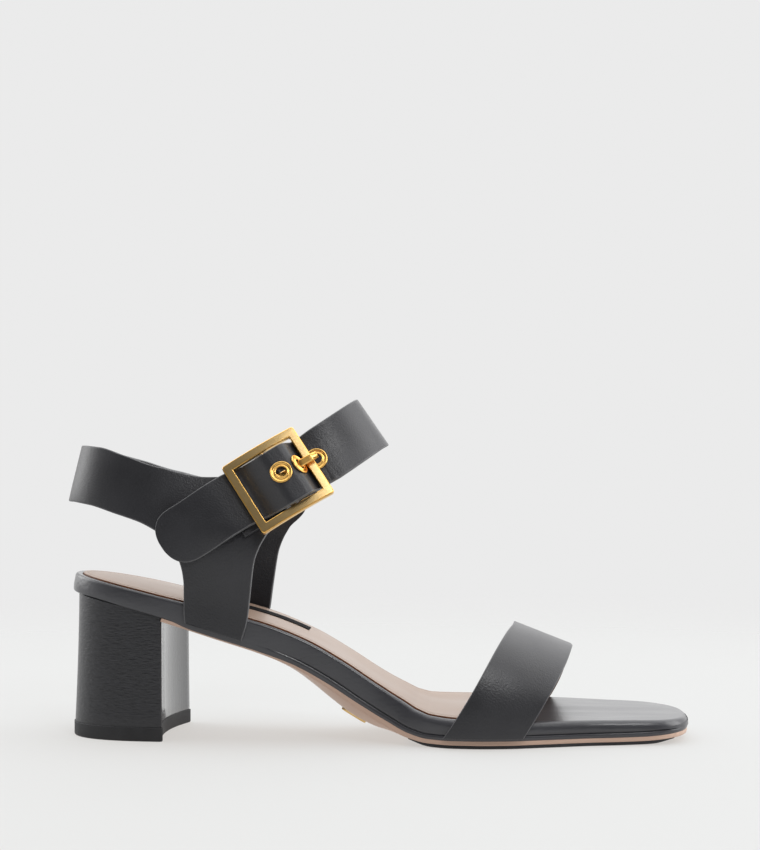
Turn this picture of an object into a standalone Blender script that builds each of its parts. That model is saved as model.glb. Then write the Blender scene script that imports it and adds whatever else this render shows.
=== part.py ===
"""Block-heeled sandal for the right foot, one solid for each piece."""
import math

import bmesh
import bpy
import numpy as np

# Sizes are millimetres and become metres when a mesh is made. x runs from the back
# of the sole to the toe, y from the long axis with the outer side of the foot
# negative, and z up from the floor.
MM = 0.001
CENTRE_X = 116.4
CENTRE_Y = -1.1
GAP = 0.3

# Sole: line is the height of the footbed's lower edge, thick its thickness square to
# that line, outer and inner the half widths before the two ends are rounded.
LENGTH = 234.3
HEEL_BEND = 42.0
TOE_BEND = 214.0
HEEL_ROUND = 2.2
TOE_ROUND = {"outer": 3.2, "inner": 2.3}


def table(columns, *rows):
    """Return one array for each named column."""
    return dict(zip(columns.split(), np.array(rows, float).T))


SOLE = table(
    "x line thick outer inner",
    (0.0, 54.6, 6.8, 27.6, 27.4),
    (15.0, 51.6, 6.9, 28.6, 27.0),
    (30.0, 48.2, 7.1, 29.3, 26.5),
    (45.0, 43.8, 8.0, 29.8, 25.7),
    (60.0, 39.1, 9.0, 30.3, 24.0),
    (75.0, 34.4, 9.4, 29.9, 21.4),
    (88.0, 29.4, 9.1, 29.2, 19.0),
    (100.0, 22.8, 9.0, 29.1, 17.8),
    (112.0, 14.9, 9.1, 29.8, 18.6),
    (122.0, 8.9, 9.1, 32.0, 22.2),
    (130.0, 4.9, 8.8, 35.0, 27.4),
    (137.0, 3.3, 8.3, 37.8, 32.2),
    (146.0, 3.0, 7.7, 40.5, 36.6),
    (156.0, 3.0, 7.3, 41.4, 38.7),
    (166.0, 3.0, 7.0, 40.4, 39.2),
    (180.0, 3.0, 6.6, 36.5, 37.4),
    (200.0, 3.0, 6.3, 30.7, 33.4),
    (215.0, 3.3, 5.9, 28.7, 29.5),
    (LENGTH, 4.8, 4.2, 26.5, 25.2),
)
# Footbed edge from the bottom up: inset from the outline, then height. A height with
# top set is measured down from the upper face.
FOOTBED_EDGE = table(
    "inset height top",
    (1.1, 0.0, 0),
    (0.4, 0.5, 0),
    (0.3, 1.5, 0),
    (0.8, 1.8, 0),
    (0.1, 2.3, 0),
    (0.0, 3.0, 0),
    (0.0, 2.3, 1),
    (0.4, 1.1, 1),
    (1.1, 0.3, 1),
    (1.9, 0.0, 1),
)
RECESS_INSET = 2.5
RECESS_DEPTH = 0.8
RECESS_END = 172.0
RECESS_FADE = 7.0
INSOLE_INSET = 2.9
INSOLE_THICK = 1.0
INSOLE_END = 168.0

# Outsole: edge is its thickness along the side, crown the extra depth under the waist.
OUTSOLE_INSET = 0.7
OUTSOLE_BACK_GAP = 1.0
OUTSOLE = table(
    "x edge crown",
    (40.0, 1.0, 0.0),
    (60.0, 1.0, 0.5),
    (72.0, 1.0, 1.2),
    (84.0, 1.1, 2.4),
    (95.0, 1.2, 4.2),
    (104.0, 1.3, 5.6),
    (112.0, 1.4, 6.0),
    (119.0, 1.5, 5.2),
    (126.0, 1.5, 2.9),
    (132.0, 1.5, 1.0),
    (139.0, 1.5, 0.0),
    (LENGTH, 1.5, 0.0),
)
CROWN_POWER = 2.2
TREAD_BACK = 130.0
TREAD_FRONT = 228.0
TREAD_INSET = 1.0
TREAD_THICK = 0.9

# Heel: plan sizes in its own axis, which turns towards the outer side.
HEEL_BACK_X = 3.4
HEEL_BACK_Y = 0.3
HEEL_TURN = math.radians(-3.5)
HEEL_PLAN = 2.6
HEEL_CORNER = 0.8
HEEL_FLARE = 1.6
HEEL_HOLLOW = 3.6
HEEL_HOLLOW_FROM = 0.55
HEEL_TOP_LENGTH = 36.2
HEEL_TOP_HALF = 25.9
HEEL_BASE_LENGTH = 38.0
HEEL_BASE_HALF = 26.3
HEEL_BASE_BACK = -1.5
TIP_HEIGHT = 5.3
TIP_PROUD = 0.35

# Toe strap: its two cut edges lean forward as they rise, the inner foot of the band
# stands further forward than the outer one, and its rear edge bulges a little on
# the outer side.
STRAP_WALL = 1.8
TOE_LOW = 3.9
TOE_REAR_X = 142.9
TOE_REAR_BULGE = 1.4
TOE_FRONT_X = 171.3
TOE_LEAN = 0.66
TOE_INNER_FORWARD = 9.0
TOE_CREST_X = 168.0
TOE_CREST_Z = 40.7
TOE_CREST_FALL = 0.39
TOE_CREST_Y = 3.0
TOE_ROUNDNESS = 2.5

# Ankle: its sides lean in as they rise and are flat beside the buckle. On that flat
# p runs along the ankle strap, forward and up, and w across it, and both are zero
# at the buckle's middle.
WALL = 1.8
BUCKLE_X = 81.8
BUCKLE_Z = 95.0
STRAP_TURN = math.radians(32.7)
ANKLE_TILT = math.radians(21.5)
ANKLE_HALF = {"outer": 26.0, "inner": 23.6}
LEAN_LOW = -14.0
LEAN_HIGH = 11.0
LEAN_EASE = 8.0
HEEL_SIDE_HALF = {"outer": 29.6, "inner": 28.4}
HEEL_SIDE_LEAN = 0.14
HEEL_SIDE_Z = 80.0
LEAN_BACK_X = 34.0
LEAN_FRONT_X = 59.0
FOOT_BLEND = 34.0
BACK_BEND_X = 38.0
BACK_RUN = 50.0
BACK_ROUND = 2.3
BACK_X = -1.4
BACK_Z = 88.9
BACK_TILT = 0.245
INNER_FORWARD = 3.0
INNER_DROP = 2.8
INNER_DROP_ROWS = (0.0, 2.0, 5.0, 7.0)

# Quarter: each row is a line across the wall, from the back of the heel round to the
# foot of a post. along is a length round the heel, then straight forward.
QUARTER = table(
    "low_along low_z top_along top_z",
    (0.0, 88.9, 0.0, 109.5),
    (13.0, 89.1, 13.0, 109.7),
    (26.0, 88.2, 26.0, 109.2),
    (37.4, 85.0, 38.5, 106.1),
    (45.7, 81.1, 51.0, 101.4),
    (50.0, 77.4, 66.8, 98.2),
    (53.6, 73.2, 82.0, 98.6),
    (56.0, 69.5, 94.0, 97.4),
    (57.6, 66.0, 98.6, 91.0),
    (58.5, 62.2, 95.6, 83.6),
    (58.9, 58.0, 89.4, 76.9),
    (58.9, 53.4, 85.2, 67.0),
    (58.9, 49.2, 83.8, 56.0),
    (59.2, 45.0, 82.6, 45.6),
)
POST_FOOT_LIFT = 1.2
POST_FOOT_BACK = 59.4
POST_FOOT_FRONT = 80.4

# Ankle strap: side lengths along p, and heights of its middle above the quarter.
BAND_HALF = 10.8
TAIL_HALF = 11.4
TIP_P = -49.4
TIP_RUN = 10.6
TIP_ROUND = 2.4
TAIL_LIFT = 2.4
TAIL_EASE_P = (2.0, -18.0)
TAIL_HEIGHT = 1.2
TOP_SLIDE = 0.23
SEAT_HEIGHT = 3.2
TAIL_P = -27.0
SEAT_P = -21.5
TOP_HEIGHT = 10.4
REAR_FOOT_P = -11.0
REAR_SLOPE = math.radians(40.0)
REAR_RADIUS = 5.0
FRONT_FOOT_P = 13.2
FRONT_SLOPE = math.radians(60.0)
FRONT_RADIUS = 3.0
FRONT_BEND_P = 18.0
FRONT_P = 40.4
FRONT_ROUND = 2.2
FRONT_LIFT = 2.4
INNER_HEIGHT = 1.2
INNER_LIFT = 1.6
INNER_END_P = -14.0

# Buckle, in its own axes: p along the strap, w across it, d out from the quarter.
FRAME_OUTER = 15.3
FRAME_INNER = 12.0
FRAME_LOW = 5.2
FRAME_HIGH = 7.6
FRAME_EDGE = 0.45
FRAME_CORNER = 1.1
WINDOW_CORNER = 0.4
BAR_HEIGHT = 5.9
BAR_RADIUS = 1.1
LOOP_THICK = 1.2
LOOP_TAIL_P = -21.0
LOOP_NECK_P = -5.0
LOOP_NECK_RISE = 1.6
LOOP_TAIL_LOW = 0.3
LOOP_TAIL_HIGH = 1.7
LOOP_HALF = 11.0
LOOP_SLOT = 1.9
LOOP_SLOT_P = (-3.4, 5.0)
LOOP_SLOT_D = (1.9, 10.0)
PRONG_RING = 2.3
PRONG_HALF = 1.4
PRONG_THICK = 1.5
PRONG_PATH = table(
    "p d",
    (1.2, 7.2),
    (6.3, 7.4),
    (8.5, 8.2),
    (10.7, 8.8),
    (17.0, 8.7),
)
EYELET_TUBE = 2.1
EYELET_OUTER = 2.6
EYELET_FLANGE = 4.1
EYELET_HOLE = 2.95
EYELET_SIDES = 24
EYELET_PLATEAU_P = 2.0
EYELET_SLOPE_RUN = 4.05
EYELET_LAST_P = 16.4

PLATE_X = 112.6
PLATE_Y = -5.6
PLATE_LENGTH = 10.4
PLATE_WIDTH = 6.0
PLATE_THICK = 0.6
PLATE_END_NARROW = 0.35

COLOURS = {
    "leather": (0.030, 0.030, 0.032, 1.0),
    "sock": (0.62, 0.49, 0.40, 1.0),
    "tan": (0.40, 0.27, 0.20, 1.0),
    "rubber": (0.018, 0.018, 0.019, 1.0),
    "gold": (0.78, 0.56, 0.22, 1.0),
}


def curve(xs, ys):
    """Return a smooth function through the points that never overshoots them."""
    widths = np.diff(xs)
    slopes = np.diff(ys) / widths
    tangents = np.zeros(len(xs))
    tangents[0] = slopes[0]
    tangents[-1] = slopes[-1]
    for i in range(1, len(widths)):
        before = slopes[i - 1]
        after = slopes[i]
        if before * after > 0.0:
            first = 2.0 * widths[i] + widths[i - 1]
            second = widths[i] + 2.0 * widths[i - 1]
            tangents[i] = (first + second) / (first / before + second / after)

    def value(x):
        x = np.clip(np.asarray(x, float), xs[0], xs[-1])
        i = np.clip(np.searchsorted(xs, x) - 1, 0, len(widths) - 1)
        t = (x - xs[i]) / widths[i]
        start = ys[i] * (1.0 + 2.0 * t) * (1.0 - t) ** 2
        end = ys[i + 1] * t * t * (3.0 - 2.0 * t)
        lean = tangents[i] * t * (1.0 - t) ** 2 - tangents[i + 1] * t * t * (1.0 - t)
        return start + end + widths[i] * lean

    return value


def smoothstep(t):
    """Ease from 0 to 1 as t goes from 0 to 1."""
    t = np.clip(t, 0.0, 1.0)
    return t * t * (3.0 - 2.0 * t)


sole_line = curve(SOLE["x"], SOLE["line"])
sole_thick = curve(SOLE["x"], SOLE["thick"])
sole_width = {side: curve(SOLE["x"], SOLE[side]) for side in ("outer", "inner")}
outsole_edge = curve(OUTSOLE["x"], OUTSOLE["edge"])
outsole_crown = curve(OUTSOLE["x"], OUTSOLE["crown"])


def half_width(side, x):
    """Distance from the long axis to the edge of the sole."""
    heel = np.clip((HEEL_BEND - x) / HEEL_BEND, 0.0, 1.0)
    toe = np.clip((x - TOE_BEND) / (LENGTH - TOE_BEND), 0.0, 1.0)
    power = TOE_ROUND[side]
    rounding = (1.0 - heel ** HEEL_ROUND) ** (1.0 / HEEL_ROUND)
    rounding = rounding * (1.0 - toe ** power) ** (1.0 / power)
    return sole_width[side](x) * rounding


def on_sole(x, y, height):
    """Points standing at a height square to the sole's side line."""
    x, y, height = np.broadcast_arrays(*(np.asarray(v, float) for v in (x, y, height)))
    inside = np.clip(x, 0.5, LENGTH - 0.5)
    slope = sole_line(inside + 0.5) - sole_line(inside - 0.5)
    run = np.hypot(1.0, slope)
    return np.stack([x - height * slope / run, y, sole_line(x) + height / run], axis=-1)


def sole_stations():
    """Stations from heel to toe, closer together where the ends are round."""
    heel = np.linspace(0.0, math.pi / 2.0, 10)[:-1]
    toe = np.linspace(math.pi / 2.0, 0.0, 10)[1:]
    heel_x = HEEL_BEND * (1.0 - np.cos(heel) ** (2.0 / HEEL_ROUND))
    toe_power = (TOE_ROUND["outer"] + TOE_ROUND["inner"]) / 2.0
    toe_x = TOE_BEND + (LENGTH - TOE_BEND) * np.cos(toe) ** (2.0 / toe_power)
    return np.concatenate([heel_x, np.linspace(HEEL_BEND, TOE_BEND, 30), toe_x])


STATIONS = sole_stations()


def sole_grid(inset, columns=7):
    """Rows of plan points across the sole, moved in from its outline."""
    outer = np.stack([STATIONS, -half_width("outer", STATIONS)], axis=-1)
    inner = np.stack([STATIONS, half_width("inner", STATIONS)], axis=-1)
    loop = np.concatenate([outer, inner[-2:0:-1]])
    along = np.roll(loop, -1, axis=0) - np.roll(loop, 1, axis=0)
    along = along / np.linalg.norm(along, axis=1, keepdims=True)
    moved = loop + inset * np.stack([-along[:, 1], along[:, 0]], axis=-1)
    count = len(STATIONS)
    left = moved[:count]
    right = np.concatenate([moved[:1], moved[:count - 1:-1], moved[count - 1:count]])
    share = np.linspace(0.0, 1.0, columns)[None, :, None]
    return left[:, None, :] * (1.0 - share) + right[:, None, :] * share


def cut_grid(grid, back, front):
    """Keep the rows of a plan grid between two x stations and end on both."""
    middle = grid[:, :, 0].mean(axis=1)
    rows = []
    for x in (back, front):
        i = int(np.clip(np.searchsorted(middle, x) - 1, 0, len(middle) - 2))
        t = (x - middle[i]) / (middle[i + 1] - middle[i])
        rows.append(grid[i] * (1.0 - t) + grid[i + 1] * t)
    kept = [row for row, x in zip(grid, middle) if back + 1.0 < x < front - 1.0]
    return np.array([rows[0]] + kept + [rows[1]])


def material(name):
    """Return the plain material of this name."""
    found = bpy.data.materials.get(name)
    if found is None:
        found = bpy.data.materials.new(name)
        found.use_nodes = True
        shader = found.node_tree.nodes["Principled BSDF"]
        shader.inputs["Base Color"].default_value = COLOURS[name.split("_")[0]]
        shader.inputs["Metallic"].default_value = 1.0 if name.startswith("gold") else 0.0
        shader.inputs["Roughness"].default_value = 0.45
    return found


def solid(name, points, faces, kind):
    """Make one closed object from points in millimetres."""
    mesh = bpy.data.meshes.new(name)
    moved = np.asarray(points, float) - np.array([CENTRE_X, CENTRE_Y, 0.0])
    mesh.from_pydata((moved * MM).tolist(), [], faces)
    work = bmesh.new()
    work.from_mesh(mesh)
    bmesh.ops.remove_doubles(work, verts=work.verts, dist=0.00001)
    bmesh.ops.dissolve_degenerate(work, edges=work.edges, dist=0.00001)
    bmesh.ops.recalc_face_normals(work, faces=work.faces)
    if work.calc_volume(signed=True) < 0.0:
        bmesh.ops.reverse_faces(work, faces=work.faces)
    work.to_mesh(mesh)
    work.free()
    thing = bpy.data.objects.new(name, mesh)
    bpy.context.scene.collection.objects.link(thing)
    mesh.materials.append(material(kind + "_" + name))
    return thing


def stack(name, levels, kind):
    """Close a stack of like grids: the ends are full, the levels between give the wall."""
    rows, columns = levels[0].shape[:2]
    numbers = np.arange(rows * columns).reshape(rows, columns)
    rim = np.concatenate([numbers[0], numbers[1:, -1], numbers[-1, -2::-1], numbers[-2:0:-1, 0]])
    points = np.concatenate([np.asarray(level).reshape(-1, 3) for level in levels])
    size = rows * columns
    last = size * (len(levels) - 1)
    faces = []
    for i in range(rows - 1):
        for j in range(columns - 1):
            corners = [numbers[i, j], numbers[i, j + 1], numbers[i + 1, j + 1], numbers[i + 1, j]]
            faces.append([int(c) for c in corners])
            faces.append([int(c) + last for c in reversed(corners)])
    for level in range(len(levels) - 1):
        low = rim + level * size
        high = low + size
        for k in range(len(rim)):
            after = (k + 1) % len(rim)
            faces.append([int(low[k]), int(high[k]), int(high[after]), int(low[after])])
    used = sorted({c for face in faces for c in face})
    place = {c: i for i, c in enumerate(used)}
    return solid(name, points[used], [[place[c] for c in face] for face in faces], kind)


def grid_normals(grid):
    """Unit normals of a grid of points."""
    along = np.gradient(grid, axis=0)
    across = np.gradient(grid, axis=1)
    normal = np.cross(along, across)
    return normal / np.linalg.norm(normal, axis=2, keepdims=True)


def slab(name, grid, low, high, kind):
    """Give a sheet of points a wall from low to high along its normals."""
    normal = grid_normals(grid)
    return stack(name, [grid + low * normal, grid + high * normal], kind)


def make_footbed():
    """The padded board: rings up its edge, with a recess for the insole on top."""
    levels = []
    for inset, height, top in zip(*FOOTBED_EDGE.values()):
        plan = sole_grid(inset)
        level = sole_thick(plan[:, :, 0]) - height if top else np.full(plan.shape[:2], height)
        levels.append(on_sole(plan[:, :, 0], plan[:, :, 1], level))
    plan = sole_grid(RECESS_INSET)
    levels.append(on_sole(plan[:, :, 0], plan[:, :, 1], floor_height(plan[:, :, 0])))
    stack("footbed", levels, "leather")


def floor_height(x):
    """Height of the footbed's upper face inside its rim."""
    fade = smoothstep((RECESS_END - x) / RECESS_FADE + 0.5)
    return sole_thick(x) - RECESS_DEPTH * fade


def make_insole():
    """The sock lying in the footbed's recess."""
    levels = []
    for inset, lift in ((0.0, 0.0), (0.0, 0.7), (0.4, 1.0)):
        plan = sole_grid(INSOLE_INSET + inset)
        plan = np.array([row for row in plan if row[:, 0].mean() < INSOLE_END])
        height = floor_height(plan[:, :, 0]) + GAP + lift * INSOLE_THICK
        levels.append(on_sole(plan[:, :, 0], plan[:, :, 1], height))
    stack("insole", levels, "sock")


def heel_rows(length, half, back, grow=0.0, columns=9):
    """Plan rows of the heel from its round back to its hollow breast."""
    turn = np.linspace(0.0, math.pi / 2.0, 14)
    reach = length - HEEL_CORNER
    front = reach * (1.0 - np.cos(turn) ** (2.0 / HEEL_PLAN))
    side = half * np.sin(turn) ** (2.0 / HEEL_PLAN)
    front = np.concatenate([front, [length - 0.25, length]])
    side = np.concatenate([side, [half - 0.15, half - HEEL_CORNER]])
    share = np.linspace(-1.0, 1.0, columns)
    rows = []
    for f, c in zip(front, side):
        near = smoothstep((f / length - HEEL_HOLLOW_FROM) / (1.0 - HEEL_HOLLOW_FROM))
        hollow = HEEL_HOLLOW * (1.0 - share ** 2) * near
        rows.append(np.stack([f - hollow, c * share], axis=-1))
    rows = np.array(rows)
    scale = np.array([1.0 + 2.0 * grow / length, 1.0 + grow / half])
    rows = rows * scale + np.array([back - grow, 0.0])
    cos = math.cos(HEEL_TURN)
    sin = math.sin(HEEL_TURN)
    x = HEEL_BACK_X + rows[:, :, 0] * cos - rows[:, :, 1] * sin
    y = HEEL_BACK_Y + rows[:, :, 0] * sin + rows[:, :, 1] * cos
    return x, y


def make_heel():
    """The block between the footbed and the tip."""
    top_x, top_y = heel_rows(HEEL_TOP_LENGTH, HEEL_TOP_HALF, 0.0)
    base_x, base_y = heel_rows(HEEL_BASE_LENGTH, HEEL_BASE_HALF, HEEL_BASE_BACK)
    top = on_sole(top_x, top_y, -GAP)
    base = np.stack([base_x, base_y, np.full(base_x.shape, TIP_HEIGHT + GAP)], axis=-1)
    levels = []
    for share in (0.0, 0.25, 0.5, 0.75, 1.0):
        flare = (1.0 - share) ** HEEL_FLARE
        plan = base[:, :, :2] * flare + top[:, :, :2] * (1.0 - flare)
        height = base[:, :, 2:] * (1.0 - share) + top[:, :, 2:] * share
        levels.append(np.concatenate([plan, height], axis=2))
    stack("heel", levels, "leather")


def make_heel_tip():
    """The rubber top piece on the floor."""
    levels = []
    for grow, height in ((-0.2, 0.0), (TIP_PROUD, 0.5), (TIP_PROUD, TIP_HEIGHT)):
        x, y = heel_rows(HEEL_BASE_LENGTH, HEEL_BASE_HALF, HEEL_BASE_BACK, grow)
        levels.append(np.stack([x, y, np.full(x.shape, height)], axis=-1))
    stack("heel_tip", levels, "rubber")


def breast_line(share):
    """Plan point on the top of the heel's breast, from the outer to the inner corner."""
    x, y = heel_rows(HEEL_TOP_LENGTH, HEEL_TOP_HALF, 0.0, columns=41)
    places = np.linspace(0.0, 1.0, 41)
    return np.interp(share, places, x[-1]), np.interp(share, places, y[-1])


def outsole_depth(x, y):
    """Depth of the outsole's lower face below the footbed."""
    outer = -half_width("outer", x)
    inner = half_width("inner", x)
    middle = (outer + inner) / 2.0
    reach = np.clip(np.abs(y - middle) / np.maximum((inner - outer) / 2.0, 1.0), 0.0, 1.0)
    return GAP + outsole_edge(x) + outsole_crown(x) * (1.0 - reach ** CROWN_POWER)


def make_outsole():
    """The tan sole: it starts at the heel's breast and is crowned under the waist."""
    levels = []
    for inset, share in ((OUTSOLE_INSET + 0.3, 0.0), (OUTSOLE_INSET, 0.4), (OUTSOLE_INSET, 1.0)):
        plan = sole_grid(inset, 11)
        plan = np.array([row for row in plan if row[:, 0].mean() > HEEL_BEND + 4.0])
        shares = np.linspace(0.0, 1.0, 11)
        edge_x = breast_line(shares)[0]
        first = np.stack([edge_x + OUTSOLE_BACK_GAP, plan[0, :, 1]], axis=-1)
        plan = np.concatenate([first[None], plan])
        depth = outsole_depth(plan[:, :, 0], plan[:, :, 1])
        height = -depth * (1.0 - share) - GAP * share
        levels.append(on_sole(plan[:, :, 0], plan[:, :, 1], height))
    stack("outsole", levels, "tan")


def make_tread():
    """The rubber half sole, flat on the floor under the ball."""
    levels = []
    for inset, share in ((0.3, 1.0), (0.0, 0.6), (0.0, 0.0)):
        plan = cut_grid(sole_grid(TREAD_INSET + inset), TREAD_BACK + inset, TREAD_FRONT)
        x = plan[:, :, 0]
        top = outsole_depth(x, plan[:, :, 1]) + GAP
        points = on_sole(x, plan[:, :, 1], -top - TREAD_THICK * share)
        points[:, :, 2] = np.maximum(points[:, :, 2], TREAD_THICK * (1.0 - share))
        levels.append(points)
    stack("forefoot_tread", levels, "rubber")


def forefoot(x, turn):
    """Point of the foot's top: turn is 0 at the outer edge and pi at the inner edge."""
    outer = -half_width("outer", x) - GAP
    inner = half_width("inner", x) + GAP
    power = 2.0 / TOE_ROUNDNESS
    reach = np.where(turn < math.pi / 2.0, outer - TOE_CREST_Y, inner - TOE_CREST_Y)
    crest = TOE_CREST_Z - TOE_CREST_FALL * (x - TOE_CREST_X)
    y = TOE_CREST_Y + reach * np.abs(np.cos(turn)) ** power
    z = TOE_LOW + (crest - TOE_LOW) * np.abs(np.sin(turn)) ** power
    return y, z


def make_toe_strap(rows=29, columns=7):
    """The band over the toes, cut from the foot's top between two leaning edges."""
    turn = np.linspace(0.0, math.pi, rows)[:, None]
    share = np.linspace(0.0, 1.0, columns)[None, :]
    bulge = TOE_REAR_BULGE * (1.0 - share) * np.sin(2.0 * turn) ** 2
    forward = TOE_INNER_FORWARD * np.cos(turn) ** 2
    shift = np.where(turn > math.pi / 2.0, forward, -bulge)
    base = TOE_REAR_X + (TOE_FRONT_X - TOE_REAR_X) * share + shift
    x = base
    for _ in range(30):
        y, z = forefoot(x, turn)
        x = base + TOE_LEAN * (z - TOE_LOW)
    y, z = forefoot(x, turn)
    slab("toe_strap", np.stack([x, y, z], axis=-1), 0.0, -STRAP_WALL, "leather")


def band_place(p, w):
    """Side-view place of a point of the ankle band."""
    x = BUCKLE_X + p * math.cos(STRAP_TURN) - w * math.sin(STRAP_TURN)
    rise = p * math.sin(STRAP_TURN) + w * math.cos(STRAP_TURN)
    return x, BUCKLE_Z + rise * math.cos(ANKLE_TILT)


def foot_station(x, z):
    """Sole station whose edge passes a side-view place."""
    station = x
    for _ in range(4):
        inside = np.clip(station, 0.5, LENGTH - 0.5)
        slope = sole_line(inside + 0.5) - sole_line(inside - 0.5)
        run = np.hypot(1.0, slope)
        height = np.clip((z - sole_line(station)) * run, 0.0, sole_thick(station))
        station = x + height * slope / run
    return station


def ankle_half(side, x, z):
    """Half width of the quarter's outer face, before it bends round the heel."""
    rise = z - BUCKLE_Z
    under = np.minimum(rise - LEAN_LOW, 0.0) / LEAN_EASE
    over = np.maximum(rise - LEAN_HIGH, 0.0) / LEAN_EASE
    eased = np.clip(rise, LEAN_LOW, LEAN_HIGH) + LEAN_EASE * (np.exp(under) - np.exp(-over))
    flat = ANKLE_HALF[side] - math.tan(ANKLE_TILT) * eased
    heel = HEEL_SIDE_HALF[side] - HEEL_SIDE_LEAN * (z - HEEL_SIDE_Z)
    front = smoothstep((x - LEAN_BACK_X) / (LEAN_FRONT_X - LEAN_BACK_X))
    ankle = heel * (1.0 - front) + flat * front
    foot = half_width(side, foot_station(x, z)) + GAP + WALL
    rim = sole_line(x) + 1.05 * sole_thick(x)
    share = smoothstep((z - rim) / FOOT_BLEND)
    return foot * (1.0 - share) + ankle * share


def quarter_point(side, along, z):
    """Point of the quarter's outer face at a length round the heel and a height."""
    back = BACK_X + BACK_TILT * (z - BACK_Z)
    turn = np.clip(along / BACK_RUN, 0.0, 1.0) * math.pi / 2.0
    power = 2.0 / BACK_ROUND
    bend_x = BACK_BEND_X - (BACK_BEND_X - back) * np.cos(turn) ** power
    x = np.where(along < BACK_RUN, bend_x, BACK_BEND_X + along - BACK_RUN)
    sign = -1.0 if side == "outer" else 1.0
    y = sign * ankle_half(side, x, z) * np.sin(turn) ** power
    return np.stack([x, y, z], axis=-1)


def quarter_sheet(side, rows=38, columns=7):
    """Outer face of half the quarter, from the back of the heel to a post's foot."""
    foot_back = POST_FOOT_BACK + BACK_BEND_X - BACK_RUN
    foot_front = POST_FOOT_FRONT + BACK_BEND_X - BACK_RUN
    forward = INNER_FORWARD if side == "inner" else 0.0
    row = np.arange(len(QUARTER["low_z"]) + 1)
    ease = smoothstep((row - 3.0) / 3.0) * forward
    ends = {
        "low_along": POST_FOOT_BACK,
        "low_z": sole_line(foot_back + forward) + POST_FOOT_LIFT,
        "top_along": POST_FOOT_FRONT,
        "top_z": sole_line(foot_front + forward) + POST_FOOT_LIFT,
    }
    fine = np.linspace(0.0, row[-1], rows)
    lines = {}
    for name, end in ends.items():
        values = np.append(QUARTER[name], end)
        if name.endswith("along"):
            values = values + ease
        if name == "top_z" and side == "inner":
            values = values - INNER_DROP * np.interp(row, INNER_DROP_ROWS, (0.0, 1.0, 1.0, 0.0))
        lines[name] = curve(row.astype(float), values)(fine)[:, None]
    share = np.linspace(0.0, 1.0, columns)[None, :]
    along = lines["low_along"] * (1.0 - share) + lines["top_along"] * share
    height = lines["low_z"] * (1.0 - share) + lines["top_z"] * share
    return quarter_point(side, along, height)


def make_quarter():
    """One wall: the outer post, the strap round the heel and the inner post."""
    outer = quarter_sheet("outer")
    inner = quarter_sheet("inner")
    sheet = np.concatenate([outer[::-1], inner[1:]])
    slab("quarter", sheet, 0.0, WALL, "leather")


def band_point(side, p, w, height):
    """Point at a height above the quarter's plane beside the buckle."""
    x, z = band_place(p, w)
    sign = -1.0 if side == "outer" else 1.0
    y = sign * ankle_half(side, x, z)
    normal = np.array([0.0, sign * math.cos(ANKLE_TILT), math.sin(ANKLE_TILT)])
    return np.stack([x, y, z], axis=-1) + np.asarray(height)[..., None] * normal


def ramp(foot_p, slope, radius, sign):
    """Rise of the strap from its seat to its top: two arcs and the line between them."""
    rise = TOP_HEIGHT - SEAT_HEIGHT
    straight = (rise - 2.0 * radius * (1.0 - math.cos(slope))) / math.sin(slope)
    turn = np.linspace(0.0, slope, 5)
    p = list(radius * np.sin(turn))
    d = list(radius * (1.0 - np.cos(turn)))
    end_p = p[-1] + straight * math.cos(slope)
    end_d = d[-1] + straight * math.sin(slope)
    foot = (p[-1], d[-1])
    for part in (0.25, 0.5, 0.75):
        p.append(foot[0] + part * straight * math.cos(slope))
        d.append(foot[1] + part * straight * math.sin(slope))
    back = turn[::-1]
    p += list(end_p + radius * (math.sin(slope) - np.sin(back)))
    d += list(end_d + radius * (np.cos(back) - math.cos(slope)))
    return foot_p + sign * np.array(p), SEAT_HEIGHT + np.array(d)


def slope_point(run):
    """Place on the front slope at a run up from its lower arc."""
    p = FRONT_FOOT_P - FRONT_RADIUS * math.sin(FRONT_SLOPE) - run * math.cos(FRONT_SLOPE)
    d = SEAT_HEIGHT + FRONT_RADIUS * (1.0 - math.cos(FRONT_SLOPE)) + run * math.sin(FRONT_SLOPE)
    return p, d


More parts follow.
